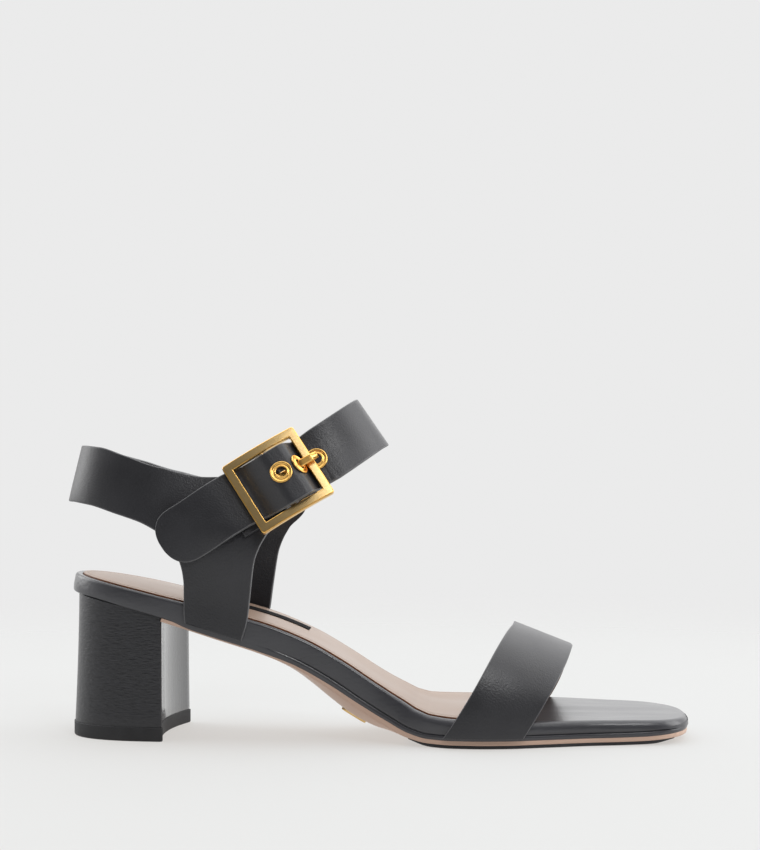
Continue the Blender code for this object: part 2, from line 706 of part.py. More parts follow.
def strap_rows():
    """Middle line of the ankle strap: side, p, height, share of the front bend, width."""
    rows = []
    turn = np.linspace(0.12, math.pi / 2.0, 9)
    for angle in turn:
        p = TIP_P + TIP_RUN * (1.0 - math.cos(angle) ** (2.0 / TIP_ROUND))
        rows.append(("outer", p, TAIL_HEIGHT, 0.0, math.sin(angle) ** (2.0 / TIP_ROUND)))
    for p in np.linspace(TIP_P + TIP_RUN, SEAT_P, 9)[1:]:
        seated = smoothstep((p - TAIL_P) / (SEAT_P - TAIL_P))
        height = TAIL_HEIGHT + (SEAT_HEIGHT - TAIL_HEIGHT) * seated
        rows.append(("outer", p, height, 0.0, 1.0))
    for p in np.linspace(SEAT_P, REAR_FOOT_P, 4)[1:-1]:
        rows.append(("outer", p, SEAT_HEIGHT, 0.0, 1.0))
    rear_p, rear_d = ramp(REAR_FOOT_P, REAR_SLOPE, REAR_RADIUS, 1.0)
    front_p, front_d = ramp(FRONT_FOOT_P, FRONT_SLOPE, FRONT_RADIUS, -1.0)
    for p, d in list(zip(rear_p, rear_d)) + list(zip(front_p, front_d))[::-1]:
        rows.append(("outer", p, d, 0.0, 1.0))
    for p in np.linspace(FRONT_FOOT_P, FRONT_BEND_P, 4)[1:]:
        rows.append(("outer", p, SEAT_HEIGHT, 0.0, 1.0))
    turns = np.linspace(0.0, math.pi, 27)[1:-1]
    for angle in turns:
        side = "outer" if angle <= math.pi / 2.0 else "inner"
        share = angle / math.pi
        height = SEAT_HEIGHT * (1.0 - share) + INNER_HEIGHT * share
        p = FRONT_BEND_P + (FRONT_P - FRONT_BEND_P) * math.sin(angle) ** (2.0 / FRONT_ROUND)
        rows.append((side, p, height, abs(math.cos(angle)) ** (2.0 / FRONT_ROUND), 1.0))
    for p in np.linspace(FRONT_BEND_P, INNER_END_P, 9):
        rows.append(("inner", p, INNER_HEIGHT, 0.0, 1.0))
    return rows


def strap_sheet(columns=6):
    """Middle surface of the ankle strap, which slides down a little over the bar."""
    share = np.linspace(-1.0, 1.0, columns)
    near, far = TAIL_EASE_P
    sheet = []
    for side, p, height, bend, size in strap_rows():
        in_bend = p > FRONT_BEND_P + 0.001
        half = BAND_HALF
        lift = FRONT_LIFT * max(p / FRONT_P, 0.0) ** 2
        if side == "outer":
            tail = smoothstep((p - near) / (far - near))
            half += (TAIL_HALF - BAND_HALF) * tail
            lift += TAIL_LIFT * tail - TOP_SLIDE * max(height - SEAT_HEIGHT, 0.0)
        else:
            lift += INNER_LIFT * smoothstep(bend if in_bend else 1.0)
        points = band_point(side, p, share * half * size + lift, np.full(columns, height))
        if in_bend:
            points[:, 1] = points[:, 1] * bend
        sheet.append(points)
    return np.array(sheet)


def buckle_axes():
    """Origin and unit axes p, w and d of the buckle."""
    origin = band_point("outer", 0.0, 0.0, 0.0)
    d_axis = band_point("outer", 0.0, 0.0, 1.0) - origin
    forward = np.array([1.0, 0.0, 0.0])
    up = np.cross(d_axis, forward)
    p_axis = math.cos(STRAP_TURN) * forward + math.sin(STRAP_TURN) * up
    w_axis = math.cos(STRAP_TURN) * up - math.sin(STRAP_TURN) * forward
    return origin, p_axis, w_axis, d_axis


def on_buckle(p, w, d):
    """Point in the buckle's own axes."""
    origin, p_axis, w_axis, d_axis = buckle_axes()
    p, w, d = (np.asarray(v, float)[..., None] for v in (p, w, d))
    return origin + p * p_axis + w * w_axis + d * d_axis


def make_ankle_strap():
    """The strap with a clear hole for each eyelet."""
    strap = slab("ankle_strap", strap_sheet(), -WALL / 2.0, WALL / 2.0, "leather")
    for number, (p, d, slope) in enumerate(eyelet_places(), 1):
        hole = round_piece(
            "hole_cutter_%d" % number,
            [(0.0, -1.7), (EYELET_HOLE, -1.7), (EYELET_HOLE, 1.7), (0.0, 1.7)],
            p,
            d,
            slope,
            "leather",
        )
        hole.hide_render = True
        hole.display_type = "WIRE"
        cut = strap.modifiers.new("hole_%d" % number, "BOOLEAN")
        cut.operation = "DIFFERENCE"
        cut.solver = "EXACT"
        cut.object = hole


def eyelet_places():
    """Middle of the strap at each eyelet, with the slope it stands on."""
    slope_p, slope_d = slope_point(EYELET_SLOPE_RUN)
    return [
        (EYELET_PLATEAU_P, TOP_HEIGHT, 0.0),
        (slope_p, slope_d, FRONT_SLOPE),
        (EYELET_LAST_P, SEAT_HEIGHT, 0.0),
    ]


def round_piece(name, profile, p, d, slope, kind):
    """Turn a profile of radius and height about the strap's normal at a place."""
    angles = np.linspace(0.0, 2.0 * math.pi, EYELET_SIDES, endpoint=False)
    points = []
    for radius, height in profile:
        along = radius * np.cos(angles)
        place_p = p + along * math.cos(slope) + height * math.sin(slope)
        place_d = d - along * math.sin(slope) + height * math.cos(slope)
        points.append(on_buckle(place_p, radius * np.sin(angles), place_d))
    points = np.array(points)
    count = len(profile)
    faces = []
    solid_core = profile[0][0] == 0.0
    for i in range(count - 1 if solid_core else count):
        for k in range(EYELET_SIDES):
            after = (k + 1) % EYELET_SIDES
            j = (i + 1) % count
            corners = [(i, k), (i, after), (j, after), (j, k)]
            faces.append([a * EYELET_SIDES + b for a, b in corners])
    return solid(name, points.reshape(-1, 3), faces, kind)


def make_eyelets():
    """Three eyelets: a tube through the strap and a rounded flange on its face."""
    face = WALL / 2.0 + GAP
    profile = [
        (EYELET_TUBE, -1.0),
        (EYELET_OUTER, -1.0),
        (EYELET_OUTER, face),
        (EYELET_FLANGE, face),
        (EYELET_FLANGE, face + 0.2),
        (EYELET_FLANGE - 0.4, face + 0.5),
        (EYELET_OUTER + 0.2, face + 0.6),
        (EYELET_TUBE, face + 0.25),
    ]
    for number, (p, d, slope) in enumerate(eyelet_places(), 1):
        round_piece("eyelet_%d" % number, profile, p, d, slope, "gold")


def square_ring(half, corner):
    """Corner points of a square with cut corners, anticlockwise."""
    points = []
    for turn in range(4):
        cos = round(math.cos(turn * math.pi / 2.0))
        sin = round(math.sin(turn * math.pi / 2.0))
        start = half - corner
        middle = half - 0.3 * corner
        for a, b in ((half, start), (middle, middle), (start, half)):
            points.append((a * cos - b * sin, a * sin + b * cos))
    return np.array(points)


def make_buckle_frame():
    """The square frame and its middle bar as one solid."""
    rings = []
    for half, corner, height in (
        (FRAME_OUTER, FRAME_CORNER, FRAME_LOW + FRAME_EDGE),
        (FRAME_OUTER, FRAME_CORNER, FRAME_HIGH - FRAME_EDGE),
        (FRAME_OUTER - FRAME_EDGE, FRAME_CORNER - 0.2, FRAME_HIGH),
        (FRAME_INNER + FRAME_EDGE, WINDOW_CORNER + 0.1, FRAME_HIGH),
        (FRAME_INNER, WINDOW_CORNER, FRAME_HIGH - FRAME_EDGE),
        (FRAME_INNER, WINDOW_CORNER, FRAME_LOW + FRAME_EDGE),
        (FRAME_INNER + FRAME_EDGE, WINDOW_CORNER + 0.1, FRAME_LOW),
        (FRAME_OUTER - FRAME_EDGE, FRAME_CORNER - 0.2, FRAME_LOW),
    ):
        ring = square_ring(half, corner)
        rings.append(on_buckle(ring[:, 0], ring[:, 1], np.full(len(ring), height)))
    count = len(rings)
    size = len(rings[0])
    faces = []
    for i in range(count):
        for k in range(size):
            j = (i + 1) % count
            after = (k + 1) % size
            faces.append([i * size + k, i * size + after, j * size + after, j * size + k])
    frame = solid("buckle_frame", np.concatenate(rings), faces, "gold")
    angles = np.linspace(0.0, 2.0 * math.pi, 16, endpoint=False)
    ring = np.stack([BAR_RADIUS * np.cos(angles), BAR_HEIGHT + BAR_RADIUS * np.sin(angles)], axis=-1)
    reach = FRAME_INNER + 1.2
    bar = extrusion("buckle_bar", [ring], -reach, reach, "gold")
    bar.hide_render = True
    bar.display_type = "WIRE"
    join = frame.modifiers.new("bar", "BOOLEAN")
    join.operation = "UNION"
    join.solver = "EXACT"
    join.object = bar


def extrusion(name, loops, low, high, kind):
    """Extrude flat loops of p and d across the strap; loops after the first are holes."""
    work = bmesh.new()
    for loop in loops:
        ring = [work.verts.new((float(p), float(d), 0.0)) for p, d in loop]
        for k, vert in enumerate(ring):
            work.edges.new((vert, ring[(k + 1) % len(ring)]))
    bmesh.ops.triangle_fill(work, edges=work.edges, use_beauty=True, use_dissolve=False)
    work.verts.index_update()
    flat = np.array([vert.co for vert in work.verts])
    faces = [[vert.index for vert in face.verts] for face in work.faces]
    rims = [[vert.index for vert in edge.verts] for edge in work.edges if len(edge.link_faces) == 1]
    work.free()
    count = len(flat)
    points = [on_buckle(flat[:, 0], np.full(count, w), flat[:, 1]) for w in (low, high)]
    everything = faces + [[i + count for i in reversed(face)] for face in faces]
    everything += [[a, b, b + count, a + count] for a, b in rims]
    return solid(name, np.concatenate(points), everything, kind)


def arc(middle_p, middle_d, radius, start, end, count):
    """Points along an arc, with angles in degrees."""
    angles = np.radians(np.linspace(start, end, count))
    return [(middle_p + radius * math.cos(a), middle_d + radius * math.sin(a)) for a in angles]


def make_buckle_loop():
    """The leather loop: a tail on the quarter that turns round the middle bar."""
    hole = BAR_RADIUS + GAP
    ring = hole + LOOP_THICK
    outline = [(LOOP_TAIL_P, LOOP_TAIL_LOW), (LOOP_NECK_P, LOOP_TAIL_LOW)]
    outline += arc(0.0, BAR_HEIGHT, ring, -70.0, 180.0, 13)
    outline.append((LOOP_NECK_P + 1.4, LOOP_TAIL_HIGH + LOOP_NECK_RISE))
    outline += [(LOOP_NECK_P - 1.5, LOOP_TAIL_HIGH), (LOOP_TAIL_P, LOOP_TAIL_HIGH)]
    inside = arc(0.0, BAR_HEIGHT, hole, 0.0, 330.0, 12)
    loop = extrusion("buckle_loop", [outline, inside], -LOOP_HALF, LOOP_HALF, "leather")
    rear, front = LOOP_SLOT_P
    low, high = LOOP_SLOT_D
    box = [(rear, low), (front, low), (front, high), (rear, high)]
    slot = extrusion("slot_cutter", [box], -LOOP_SLOT, LOOP_SLOT, "leather")
    slot.hide_render = True
    slot.display_type = "WIRE"
    cut = loop.modifiers.new("slot", "BOOLEAN")
    cut.operation = "DIFFERENCE"
    cut.solver = "EXACT"
    cut.object = slot


def make_prong():
    """The prong: a ring on the middle bar and a finger through the second eyelet."""
    path = np.stack([PRONG_PATH["p"], PRONG_PATH["d"]], axis=-1)
    along = np.gradient(path, axis=0)
    along = along / np.linalg.norm(along, axis=1, keepdims=True)
    normal = np.stack([-along[:, 1], along[:, 0]], axis=-1)
    half = np.full(len(path), PRONG_THICK / 2.0)
    half[-1] = PRONG_THICK * 0.25
    upper = path + normal * half[:, None]
    lower = path - normal * half[:, None]
    outline = [tuple(point) for point in lower[1:]] + [tuple(point) for point in upper[:0:-1]]
    outline += arc(0.0, BAR_HEIGHT, PRONG_RING, 60.0, 350.0, 15)
    inside = arc(0.0, BAR_HEIGHT, BAR_RADIUS + GAP, 0.0, 330.0, 12)
    extrusion("buckle_prong", [outline, inside], -PRONG_HALF, PRONG_HALF, "gold")


def make_sole_plate():
    """The small blank plate under the waist."""
    long_half = PLATE_LENGTH / 2.0
    wide_half = PLATE_WIDTH / 2.0
    x = PLATE_X + long_half * np.array([-1.0, 1.0, 0.0, 0.0])
    y = PLATE_Y + wide_half * np.array([0.0, 0.0, -1.0, 1.0])
    face = on_sole(x, y, -outsole_depth(x, y))
    along = face[1] - face[0]
    along = along / np.linalg.norm(along)
    down = np.cross(face[3] - face[2], along)
    down = down / np.linalg.norm(down)
    across = np.cross(along, down)
    middle = on_sole(PLATE_X, PLATE_Y, -outsole_depth(PLATE_X, PLATE_Y)) + GAP * down
    share = np.linspace(-1.0, 1.0, 9)[:, None, None]
    side = np.array([-1.0, 0.0, 1.0])[None, :, None]
    narrow = 1.0 - PLATE_END_NARROW * np.abs(share) ** 6
    levels = []
    for inset, height in ((0.0, 0.0), (0.0, PLATE_THICK - 0.2), (0.25, PLATE_THICK)):
        forward = (long_half - inset) * share * along
        sideways = (wide_half - inset) * narrow * side * across
        levels.append(middle + forward + sideways + height * down)
    stack("sole_plate", levels, "gold")


def main():
    """Clear the scene and make every piece."""
    for thing in list(bpy.data.objects):
        bpy.data.objects.remove(thing, do_unlink=True)
    make_footbed()
    make_insole()
    make_outsole()
    make_tread()
    make_heel()
    make_heel_tip()
    make_toe_strap()
    make_quarter()
    make_ankle_strap()
    make_buckle_loop()
    make_buckle_frame()
    make_prong()
    make_eyelets()
    make_sole_plate()


main()
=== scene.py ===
"""Looks of a block-heeled sandal for the right foot, with its studio stage."""
import math

import bpy
import numpy as np
from bpy.props import FloatProperty, FloatVectorProperty, PointerProperty
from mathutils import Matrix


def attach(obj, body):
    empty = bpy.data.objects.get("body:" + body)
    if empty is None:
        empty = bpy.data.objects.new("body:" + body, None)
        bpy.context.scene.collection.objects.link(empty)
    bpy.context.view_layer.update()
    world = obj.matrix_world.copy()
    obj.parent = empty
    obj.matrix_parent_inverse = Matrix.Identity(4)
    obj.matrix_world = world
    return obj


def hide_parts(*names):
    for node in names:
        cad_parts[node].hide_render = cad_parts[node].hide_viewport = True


bl_info = {
    "name": "Block-heeled sandal",
    "version": (1, 0, 0),
    "blender": (4, 5, 0),
    "location": "3D View > Sidebar > Sandal",
    "description": "Models the sandal's leather, sole and buckle around its solids",
    "category": "Object",
}

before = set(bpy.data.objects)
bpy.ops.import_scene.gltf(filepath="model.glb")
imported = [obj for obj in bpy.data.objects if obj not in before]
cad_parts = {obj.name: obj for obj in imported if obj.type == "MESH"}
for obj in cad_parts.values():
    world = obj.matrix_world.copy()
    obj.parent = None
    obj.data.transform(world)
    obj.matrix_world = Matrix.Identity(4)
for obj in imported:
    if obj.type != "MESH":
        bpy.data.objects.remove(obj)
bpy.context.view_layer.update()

# Sizes are millimetres and become metres when a mesh is made. x runs from the back
# of the sole to the toe, y from the long axis with the outer side of the foot
# negative, and z up from the floor.
MM = 0.001
CENTRE = np.array([116.4, -1.1, 0.0])
GAP = 0.3
SEAT = 0.02

# Sole: line is the height of the footbed's lower edge, thick its thickness square to
# that line, outer and inner the half widths before the two ends are rounded.
LENGTH = 234.3
HEEL_BEND = 42.0
TOE_BEND = 214.0
HEEL_ROUND = 2.2
TOE_ROUND = {"outer": 3.2, "inner": 2.3}
HEEL_STEPS = 34
MIDDLE_STEPS = 110
TOE_STEPS = 38
SOLE_COLUMNS = 17


def table(columns, *rows):
    """Return one array for each named column."""
    return dict(zip(columns.split(), np.array(rows, float).T))


SOLE = table(
    "x line thick outer inner",
    (0.0, 54.6, 6.8, 27.6, 27.4),
    (15.0, 51.6, 6.9, 28.6, 27.0),
    (30.0, 48.2, 7.1, 29.3, 26.5),
    (45.0, 43.8, 8.0, 29.8, 25.7),
    (60.0, 39.1, 9.0, 30.3, 24.0),
    (75.0, 34.4, 9.4, 29.9, 21.4),
    (88.0, 29.4, 9.1, 29.2, 19.0),
    (100.0, 22.8, 9.0, 29.1, 17.8),
    (112.0, 14.9, 9.1, 29.8, 18.6),
    (122.0, 8.9, 9.1, 32.0, 22.2),
    (130.0, 4.9, 8.8, 35.0, 27.4),
    (137.0, 3.3, 8.3, 37.8, 32.2),
    (146.0, 3.0, 7.7, 40.5, 36.6),
    (156.0, 3.0, 7.3, 41.4, 38.7),
    (166.0, 3.0, 7.0, 40.4, 39.2),
    (180.0, 3.0, 6.6, 36.5, 37.4),
    (200.0, 3.0, 6.3, 30.7, 33.4),
    (215.0, 3.3, 5.9, 28.7, 29.5),
    (LENGTH, 4.8, 4.2, 26.5, 25.2),
)
# Side of the footbed from the bottom up: inset with its rand and groove, and plain
# round the heel, where neither shows.
RAND_EDGE = table(
    "inset plain height",
    (1.10, 1.00, 0.00),
    (0.70, 0.60, 0.12),
    (0.42, 0.34, 0.45),
    (0.32, 0.22, 0.90),
    (0.34, 0.16, 1.40),
    (0.50, 0.13, 1.62),
    (0.80, 0.10, 1.80),
    (0.42, 0.08, 2.00),
    (0.14, 0.05, 2.28),
    (0.02, 0.02, 2.70),
)
RAND_START = 66.0
RAND_FADE = 30.0
RAND_HANG = 0.95
HANG_START = 40.0
HANG_RISE = 10.0
HANG_END = 95.0
HANG_FADE = 35.0
HANG_LEFT = 0.3
TOP_EDGE_INSET = 2.3
TOP_EDGE_DEPTH = 3.2
TOP_EDGE_STEPS = 11
HEEL_EDGE_SHARE = 0.35
HEEL_EDGE_END = 110.0
HEEL_EDGE_FADE = 40.0
RECESS_INSET = 2.5
RECESS_DEPTH = 0.8
RECESS_END = 172.0
RECESS_FADE = 7.0
RIPPLE_START = 176.0
RIPPLE_FADE = 14.0
INSOLE_INSET = 2.7
INSOLE_THICK = 1.4
INSOLE_END = 168.0
INSOLE_ROUND = 0.35
# Line pressed into the sock along its edge.
PRESS_INSET = 2.0
PRESS_HALF = 0.28
PRESS_DEPTH = 0.14

LABEL_BACK = 52.0
LABEL_FRONT = 86.8
LABEL_OUTER = 0.0
LABEL_INNER = 9.5
LABEL_THICK = 0.25

OUTSOLE_INSET = 0.7
OUTSOLE_BACK_GAP = 0.4
OUTSOLE_BACK_X = 46.0
OUTSOLE = table(
    "x edge crown",
    (40.0, 1.0, 0.0),
    (60.0, 1.0, 0.5),
    (72.0, 1.0, 1.2),
    (84.0, 1.1, 2.4),
    (95.0, 1.2, 4.2),
    (104.0, 1.3, 5.6),
    (112.0, 1.4, 6.0),
    (119.0, 1.5, 5.2),
    (126.0, 1.5, 2.9),
    (132.0, 1.5, 1.0),
    (139.0, 1.5, 0.0),
    (LENGTH, 1.5, 0.0),
)
CROWN_POWER = 2.2
TREAD_BACK = 130.0
TREAD_FRONT = 228.0
TREAD_INSET = 1.0
TREAD_THICK = 0.9
TREAD_SKIVE = 9.0
TREAD_THIN = 0.25

# Heel: plan sizes in its own axis, which turns towards the outer side.
HEEL_BACK_X = 3.4
HEEL_BACK_Y = 0.3
HEEL_TURN = math.radians(-3.5)
HEEL_PLAN = 2.6
HEEL_CORNER = 0.8
HEEL_FLARE = 1.6
HEEL_HOLLOW = 3.6
HEEL_HOLLOW_FROM = 0.55
HEEL_TOP_LENGTH = 36.2
HEEL_TOP_HALF = 25.9
HEEL_BASE_LENGTH = 38.0
HEEL_BASE_HALF = 26.3
HEEL_BASE_BACK = -1.5
HEEL_LEVELS = 14
HEEL_LIP = 0.12
TIP_HEIGHT = 5.3
TIP_PROUD = 0.35

# Toe strap: its two cut edges lean forward as they rise, and the rear one swells back
# halfway up the outer side. Near the crest both edges step forward, which rounds the
# rear corner and sharpens the front one.
STRAP_WALL = 1.8
TOE_LOW = 3.9
TOE_REAR_X = 142.9
TOE_FRONT_X = 171.3
TOE_LEAN = 0.66
TOE_INNER_FORWARD = 9.0
TOE_REAR_BULGE = 1.4
TOE_CORNER = 1.5
TOE_CORNER_REACH = 0.5
TOE_CORNER_POWER = 1.5
TOE_TIP = 1.0
TOE_CREST_X = 168.0
TOE_CREST_Z = 40.7
TOE_CREST_FALL = 0.39
TOE_CREST_Y = 3.0
TOE_ROUNDNESS = 2.5

# Ankle: p runs along the strap, forward and up, and w across it, both zero at the
# buckle's middle.
WALL = 1.8
BUCKLE_X = 81.8
BUCKLE_Z = 95.0
STRAP_TURN = math.radians(32.7)
ANKLE_TILT = math.radians(21.5)
ANKLE_HALF = {"outer": 26.0, "inner": 23.6}
LEAN_LOW = -14.0
LEAN_HIGH = 11.0
LEAN_EASE = 8.0
HEEL_SIDE_HALF = {"outer": 29.6, "inner": 28.4}
HEEL_SIDE_LEAN = 0.14
HEEL_SIDE_Z = 80.0
LEAN_BACK_X = 34.0
LEAN_FRONT_X = 59.0
FOOT_BLEND = 34.0
BACK_BEND_X = 38.0
BACK_RUN = 50.0
BACK_ROUND = 2.3
BACK_X = -1.4
BACK_Z = 88.9
BACK_TILT = 0.245
INNER_FORWARD = 3.0
INNER_DROP = 2.8
INNER_DROP_ROWS = (0.0, 2.0, 5.0, 7.0)

# Quarter: each row is a line across the wall, from the back of the heel round to the
# foot of a post. along is a length round the heel, then straight forward.
QUARTER = table(
    "low_along low_z top_along top_z",
    (0.0, 88.3, 0.0, 109.5),
    (13.0, 88.4, 13.0, 109.7),
    (26.0, 87.5, 26.0, 109.2),
    (37.4, 84.5, 38.5, 106.1),
    (45.7, 81.1, 51.0, 101.4),
    (50.0, 77.4, 66.8, 98.2),
    (53.6, 73.2, 82.0, 98.6),
    (56.0, 69.5, 94.0, 97.4),
    (57.6, 66.0, 98.6, 91.0),
    (58.5, 62.2, 95.6, 83.6),
    (58.9, 58.0, 89.4, 76.9),
    (58.9, 53.4, 85.2, 67.0),
    (58.9, 49.2, 83.8, 56.0),
    (59.2, 45.0, 82.6, 45.6),
)
POST_FOOT_LIFT = 1.2
POST_FOOT_BACK = 59.4
POST_FOOT_FRONT = 80.4

# Ankle strap: side lengths along p, and heights of its middle above the quarter.
BAND_HALF = 10.8
TAIL_HALF = 11.4
TIP_P = -49.4
TIP_RUN = 10.6
TIP_ROUND = 2.4
TIP_START = 0.04
TAIL_LIFT = 2.4
TAIL_EASE_P = (2.0, -18.0)
TAIL_HEIGHT = 1.2
TOP_SLIDE = 0.23
TOP_WIDEN = 0.9
FRONT_WIDEN = 0.4
SEAT_HEIGHT = 3.2
TAIL_P = -38.0
SEAT_P = -21.5
TOP_HEIGHT = 10.4
REAR_FOOT_P = -11.0
REAR_SLOPE = math.radians(40.0)
REAR_RADIUS = 5.0
FRONT_FOOT_P = 13.2
FRONT_SLOPE = math.radians(60.0)
FRONT_RADIUS = 3.0
FRONT_BEND_P = 18.0
FRONT_P = 40.4
FRONT_ROUND = 2.2
FRONT_LIFT = 2.4
INNER_HEIGHT = 1.2
INNER_LIFT = 1.6
INNER_END_P = -14.0
# Creases that the strap keeps from being drawn tight through the frame.
STRAP_CREASES = table(
    "p depth width lean",
    (17.6, 0.55, 0.55, 0.05),
    (19.3, 0.80, 0.70, -0.04),
    (21.6, 0.45, 0.60, 0.08),
    (24.4, 0.30, 0.90, -0.10),
)

# Buckle, in its own axes: p along the strap, w across it, d out from the quarter.
FRAME_OUTER = 15.3
FRAME_INNER = 12.0
FRAME_LOW = 5.2
FRAME_HIGH = 7.6
FRAME_BOW = 1.0
FRAME_EDGE = 0.45
FRAME_CORNER = 1.1
WINDOW_CORNER = 0.4
BAR_HEIGHT = 5.9
BAR_RADIUS = 1.1
BAR_SIDES = 24
BAR_SUNK = 1.2
LOOP_THICK = 1.2
LOOP_TAIL_P = -21.0
LOOP_NECK_P = -5.0
LOOP_NECK_RISE = 1.6
LOOP_TAIL_LOW = 0.1
LOOP_TAIL_HIGH = 1.7
LOOP_HALF = 11.0
LOOP_SLOT = 1.9
LOOP_SLOT_P = (-3.4, 5.0)
LOOP_SLOT_D = (1.9, 10.0)
PRONG_RING = 2.3
PRONG_HALF = 1.4
PRONG_THICK = 1.5
PRONG_EDGE = 0.35
PRONG_TAPER_P = 14.0
PRONG_TAPER_RUN = 3.0
PRONG_TIP_THIN = 0.35
PRONG_TIP_NARROW = 0.12
PRONG_PATH = table(
    "p d",
    (0.6, 7.3),
    (3.5, 7.2),
    (6.3, 7.4),
    (8.5, 8.2),
    (10.7, 8.8),
    (13.8, 8.8),
    (17.0, 8.7),
)
EYELET_SIDES = 56
EYELET_HOLE = 2.95
EYELET_PROFILE = table(
    "radius height",
    (2.00, -1.90),
    (2.60, -1.90),
    (2.60, 0.00),
    (3.95, 0.00),
    (4.12, 0.12),
    (4.16, 0.32),
    (4.06, 0.52),
    (3.84, 0.62),
    (3.58, 0.58),
    (3.34, 0.42),
    (3.10, 0.28),
    (2.82, 0.28),
    (2.62, 0.42),
    (2.46, 0.60),
    (2.26, 0.64),
    (2.06, 0.54),
    (1.98, 0.30),
)
EYELET_PLATEAU_P = 2.0
EYELET_SLOPE_RUN = 4.05
EYELET_LAST_P = 16.4

PLATE_X = 112.6
PLATE_Y = -5.6
PLATE_LENGTH = 10.4
PLATE_WIDTH = 6.0
PLATE_THICK = 0.6
PLATE_END_NARROW = 0.35

# Camera: level, from the outer side and a little ahead of the shoe's middle.
CAMERA_AT = (156.8, -796.3, 117.4)
CAMERA_TURN = math.radians(2.8)
CAMERA_LENS = 88.4

# Stage, in metres: place, target and size of each light, the height's weight in the
# fade of the room from front to back, and the floor, clear from one radius to another.
LIGHTS = {
    "top": ((0.05, 0.25, 0.95), (0.0, 0.0, 0.03), 1.5),
    "side": ((0.85, 0.05, 0.42), (0.0, 0.0, 0.06), 0.7),
    "back": ((-0.8, 0.3, 0.4), (-0.1, 0.0, 0.06), 0.6),
    "front": ((0.30, -0.66, 0.72), (0.03, 0.0, 0.06), 0.28),
    "rear": ((0.1, 0.95, 0.5), (0.03, 0.0, 0.03), 0.8),
}
ROOM_HEIGHT_WEIGHT = 0.45
ROOM_FADE = 0.75
FLOOR_HALF = 1.6
FLOOR_INSET = 0.96
FLOOR_CLEAR = (0.24, 0.7)
FLOOR_GLOW = (0.548, 0.523, 0.500, 1.0)
FLOOR_ALBEDO = (0.162, 0.180, 0.190, 1.0)


def curve(xs, ys):
    """Return a smooth function through the points that never overshoots them."""
    widths = np.diff(xs)
    slopes = np.diff(ys) / widths
    tangents = np.zeros(len(xs))
    tangents[0] = slopes[0]
    tangents[-1] = slopes[-1]
    for i in range(1, len(widths)):
        before = slopes[i - 1]
        after = slopes[i]
        if before * after > 0.0:
            first = 2.0 * widths[i] + widths[i - 1]
            second = widths[i] + 2.0 * widths[i - 1]
            tangents[i] = (first + second) / (first / before + second / after)

    def value(x):
        x = np.clip(np.asarray(x, float), xs[0], xs[-1])
        i = np.clip(np.searchsorted(xs, x) - 1, 0, len(widths) - 1)
        t = (x - xs[i]) / widths[i]
        start = ys[i] * (1.0 + 2.0 * t) * (1.0 - t) ** 2
        end = ys[i + 1] * t * t * (3.0 - 2.0 * t)
        lean = tangents[i] * t * (1.0 - t) ** 2 - tangents[i + 1] * t * t * (1.0 - t)
        return start + end + widths[i] * lean

    return value


def smoothstep(t):
    """Ease from 0 to 1 as t goes from 0 to 1."""
    t = np.clip(t, 0.0, 1.0)
    return t * t * (3.0 - 2.0 * t)


sole_line = curve(SOLE["x"], SOLE["line"])
sole_thick = curve(SOLE["x"], SOLE["thick"])
sole_width = {side: curve(SOLE["x"], SOLE[side]) for side in ("outer", "inner")}
outsole_edge = curve(OUTSOLE["x"], OUTSOLE["edge"])
outsole_crown = curve(OUTSOLE["x"], OUTSOLE["crown"])


def half_width(side, x):
    """Distance from the long axis to the edge of the sole."""
    heel = np.clip((HEEL_BEND - x) / HEEL_BEND, 0.0, 1.0)
    toe = np.clip((x - TOE_BEND) / (LENGTH - TOE_BEND), 0.0, 1.0)
    power = TOE_ROUND[side]
    rounding = (1.0 - heel ** HEEL_ROUND) ** (1.0 / HEEL_ROUND)
    rounding = rounding * (1.0 - toe ** power) ** (1.0 / power)
    return sole_width[side](x) * rounding


def on_sole(x, y, height):
    """Points standing at a height square to the sole's side line."""
    x, y, height = np.broadcast_arrays(*(np.asarray(v, float) for v in (x, y, height)))
    inside = np.clip(x, 0.5, LENGTH - 0.5)
    slope = sole_line(inside + 0.5) - sole_line(inside - 0.5)
    run = np.hypot(1.0, slope)
    return np.stack([x - height * slope / run, y, sole_line(x) + height / run], axis=-1)


def sole_stations():
    """Stations from heel to toe, closer together where the ends are round."""
    heel = np.linspace(0.0, math.pi / 2.0, HEEL_STEPS)[:-1]
    toe = np.linspace(math.pi / 2.0, 0.0, TOE_STEPS)[1:]
    heel_x = HEEL_BEND * (1.0 - np.cos(heel) ** (2.0 / HEEL_ROUND))
    toe_power = (TOE_ROUND["outer"] + TOE_ROUND["inner"]) / 2.0
    toe_x = TOE_BEND + (LENGTH - TOE_BEND) * np.cos(toe) ** (2.0 / toe_power)
    return np.concatenate([heel_x, np.linspace(HEEL_BEND, TOE_BEND, MIDDLE_STEPS), toe_x])


STATIONS = sole_stations()


def sole_grid(inset, columns=SOLE_COLUMNS):
    """Rows of plan points across the sole, moved in from its outline."""
    outer = np.stack([STATIONS, -half_width("outer", STATIONS)], axis=-1)
    inner = np.stack([STATIONS, half_width("inner", STATIONS)], axis=-1)
    loop = np.concatenate([outer, inner[-2:0:-1]])
    along = np.roll(loop, -1, axis=0) - np.roll(loop, 1, axis=0)
    along = along / np.linalg.norm(along, axis=1, keepdims=True)
    inset = np.broadcast_to(inset, STATIONS.shape)
    inset = np.concatenate([inset, inset[-2:0:-1]])[:, None]
    moved = loop + inset * np.stack([-along[:, 1], along[:, 0]], axis=-1)
    count = len(STATIONS)
    left = moved[:count]
    right = np.concatenate([moved[:1], moved[:count - 1:-1], moved[count - 1:count]])
    share = np.linspace(0.0, 1.0, columns)[None, :, None]
    return left[:, None, :] * (1.0 - share) + right[:, None, :] * share


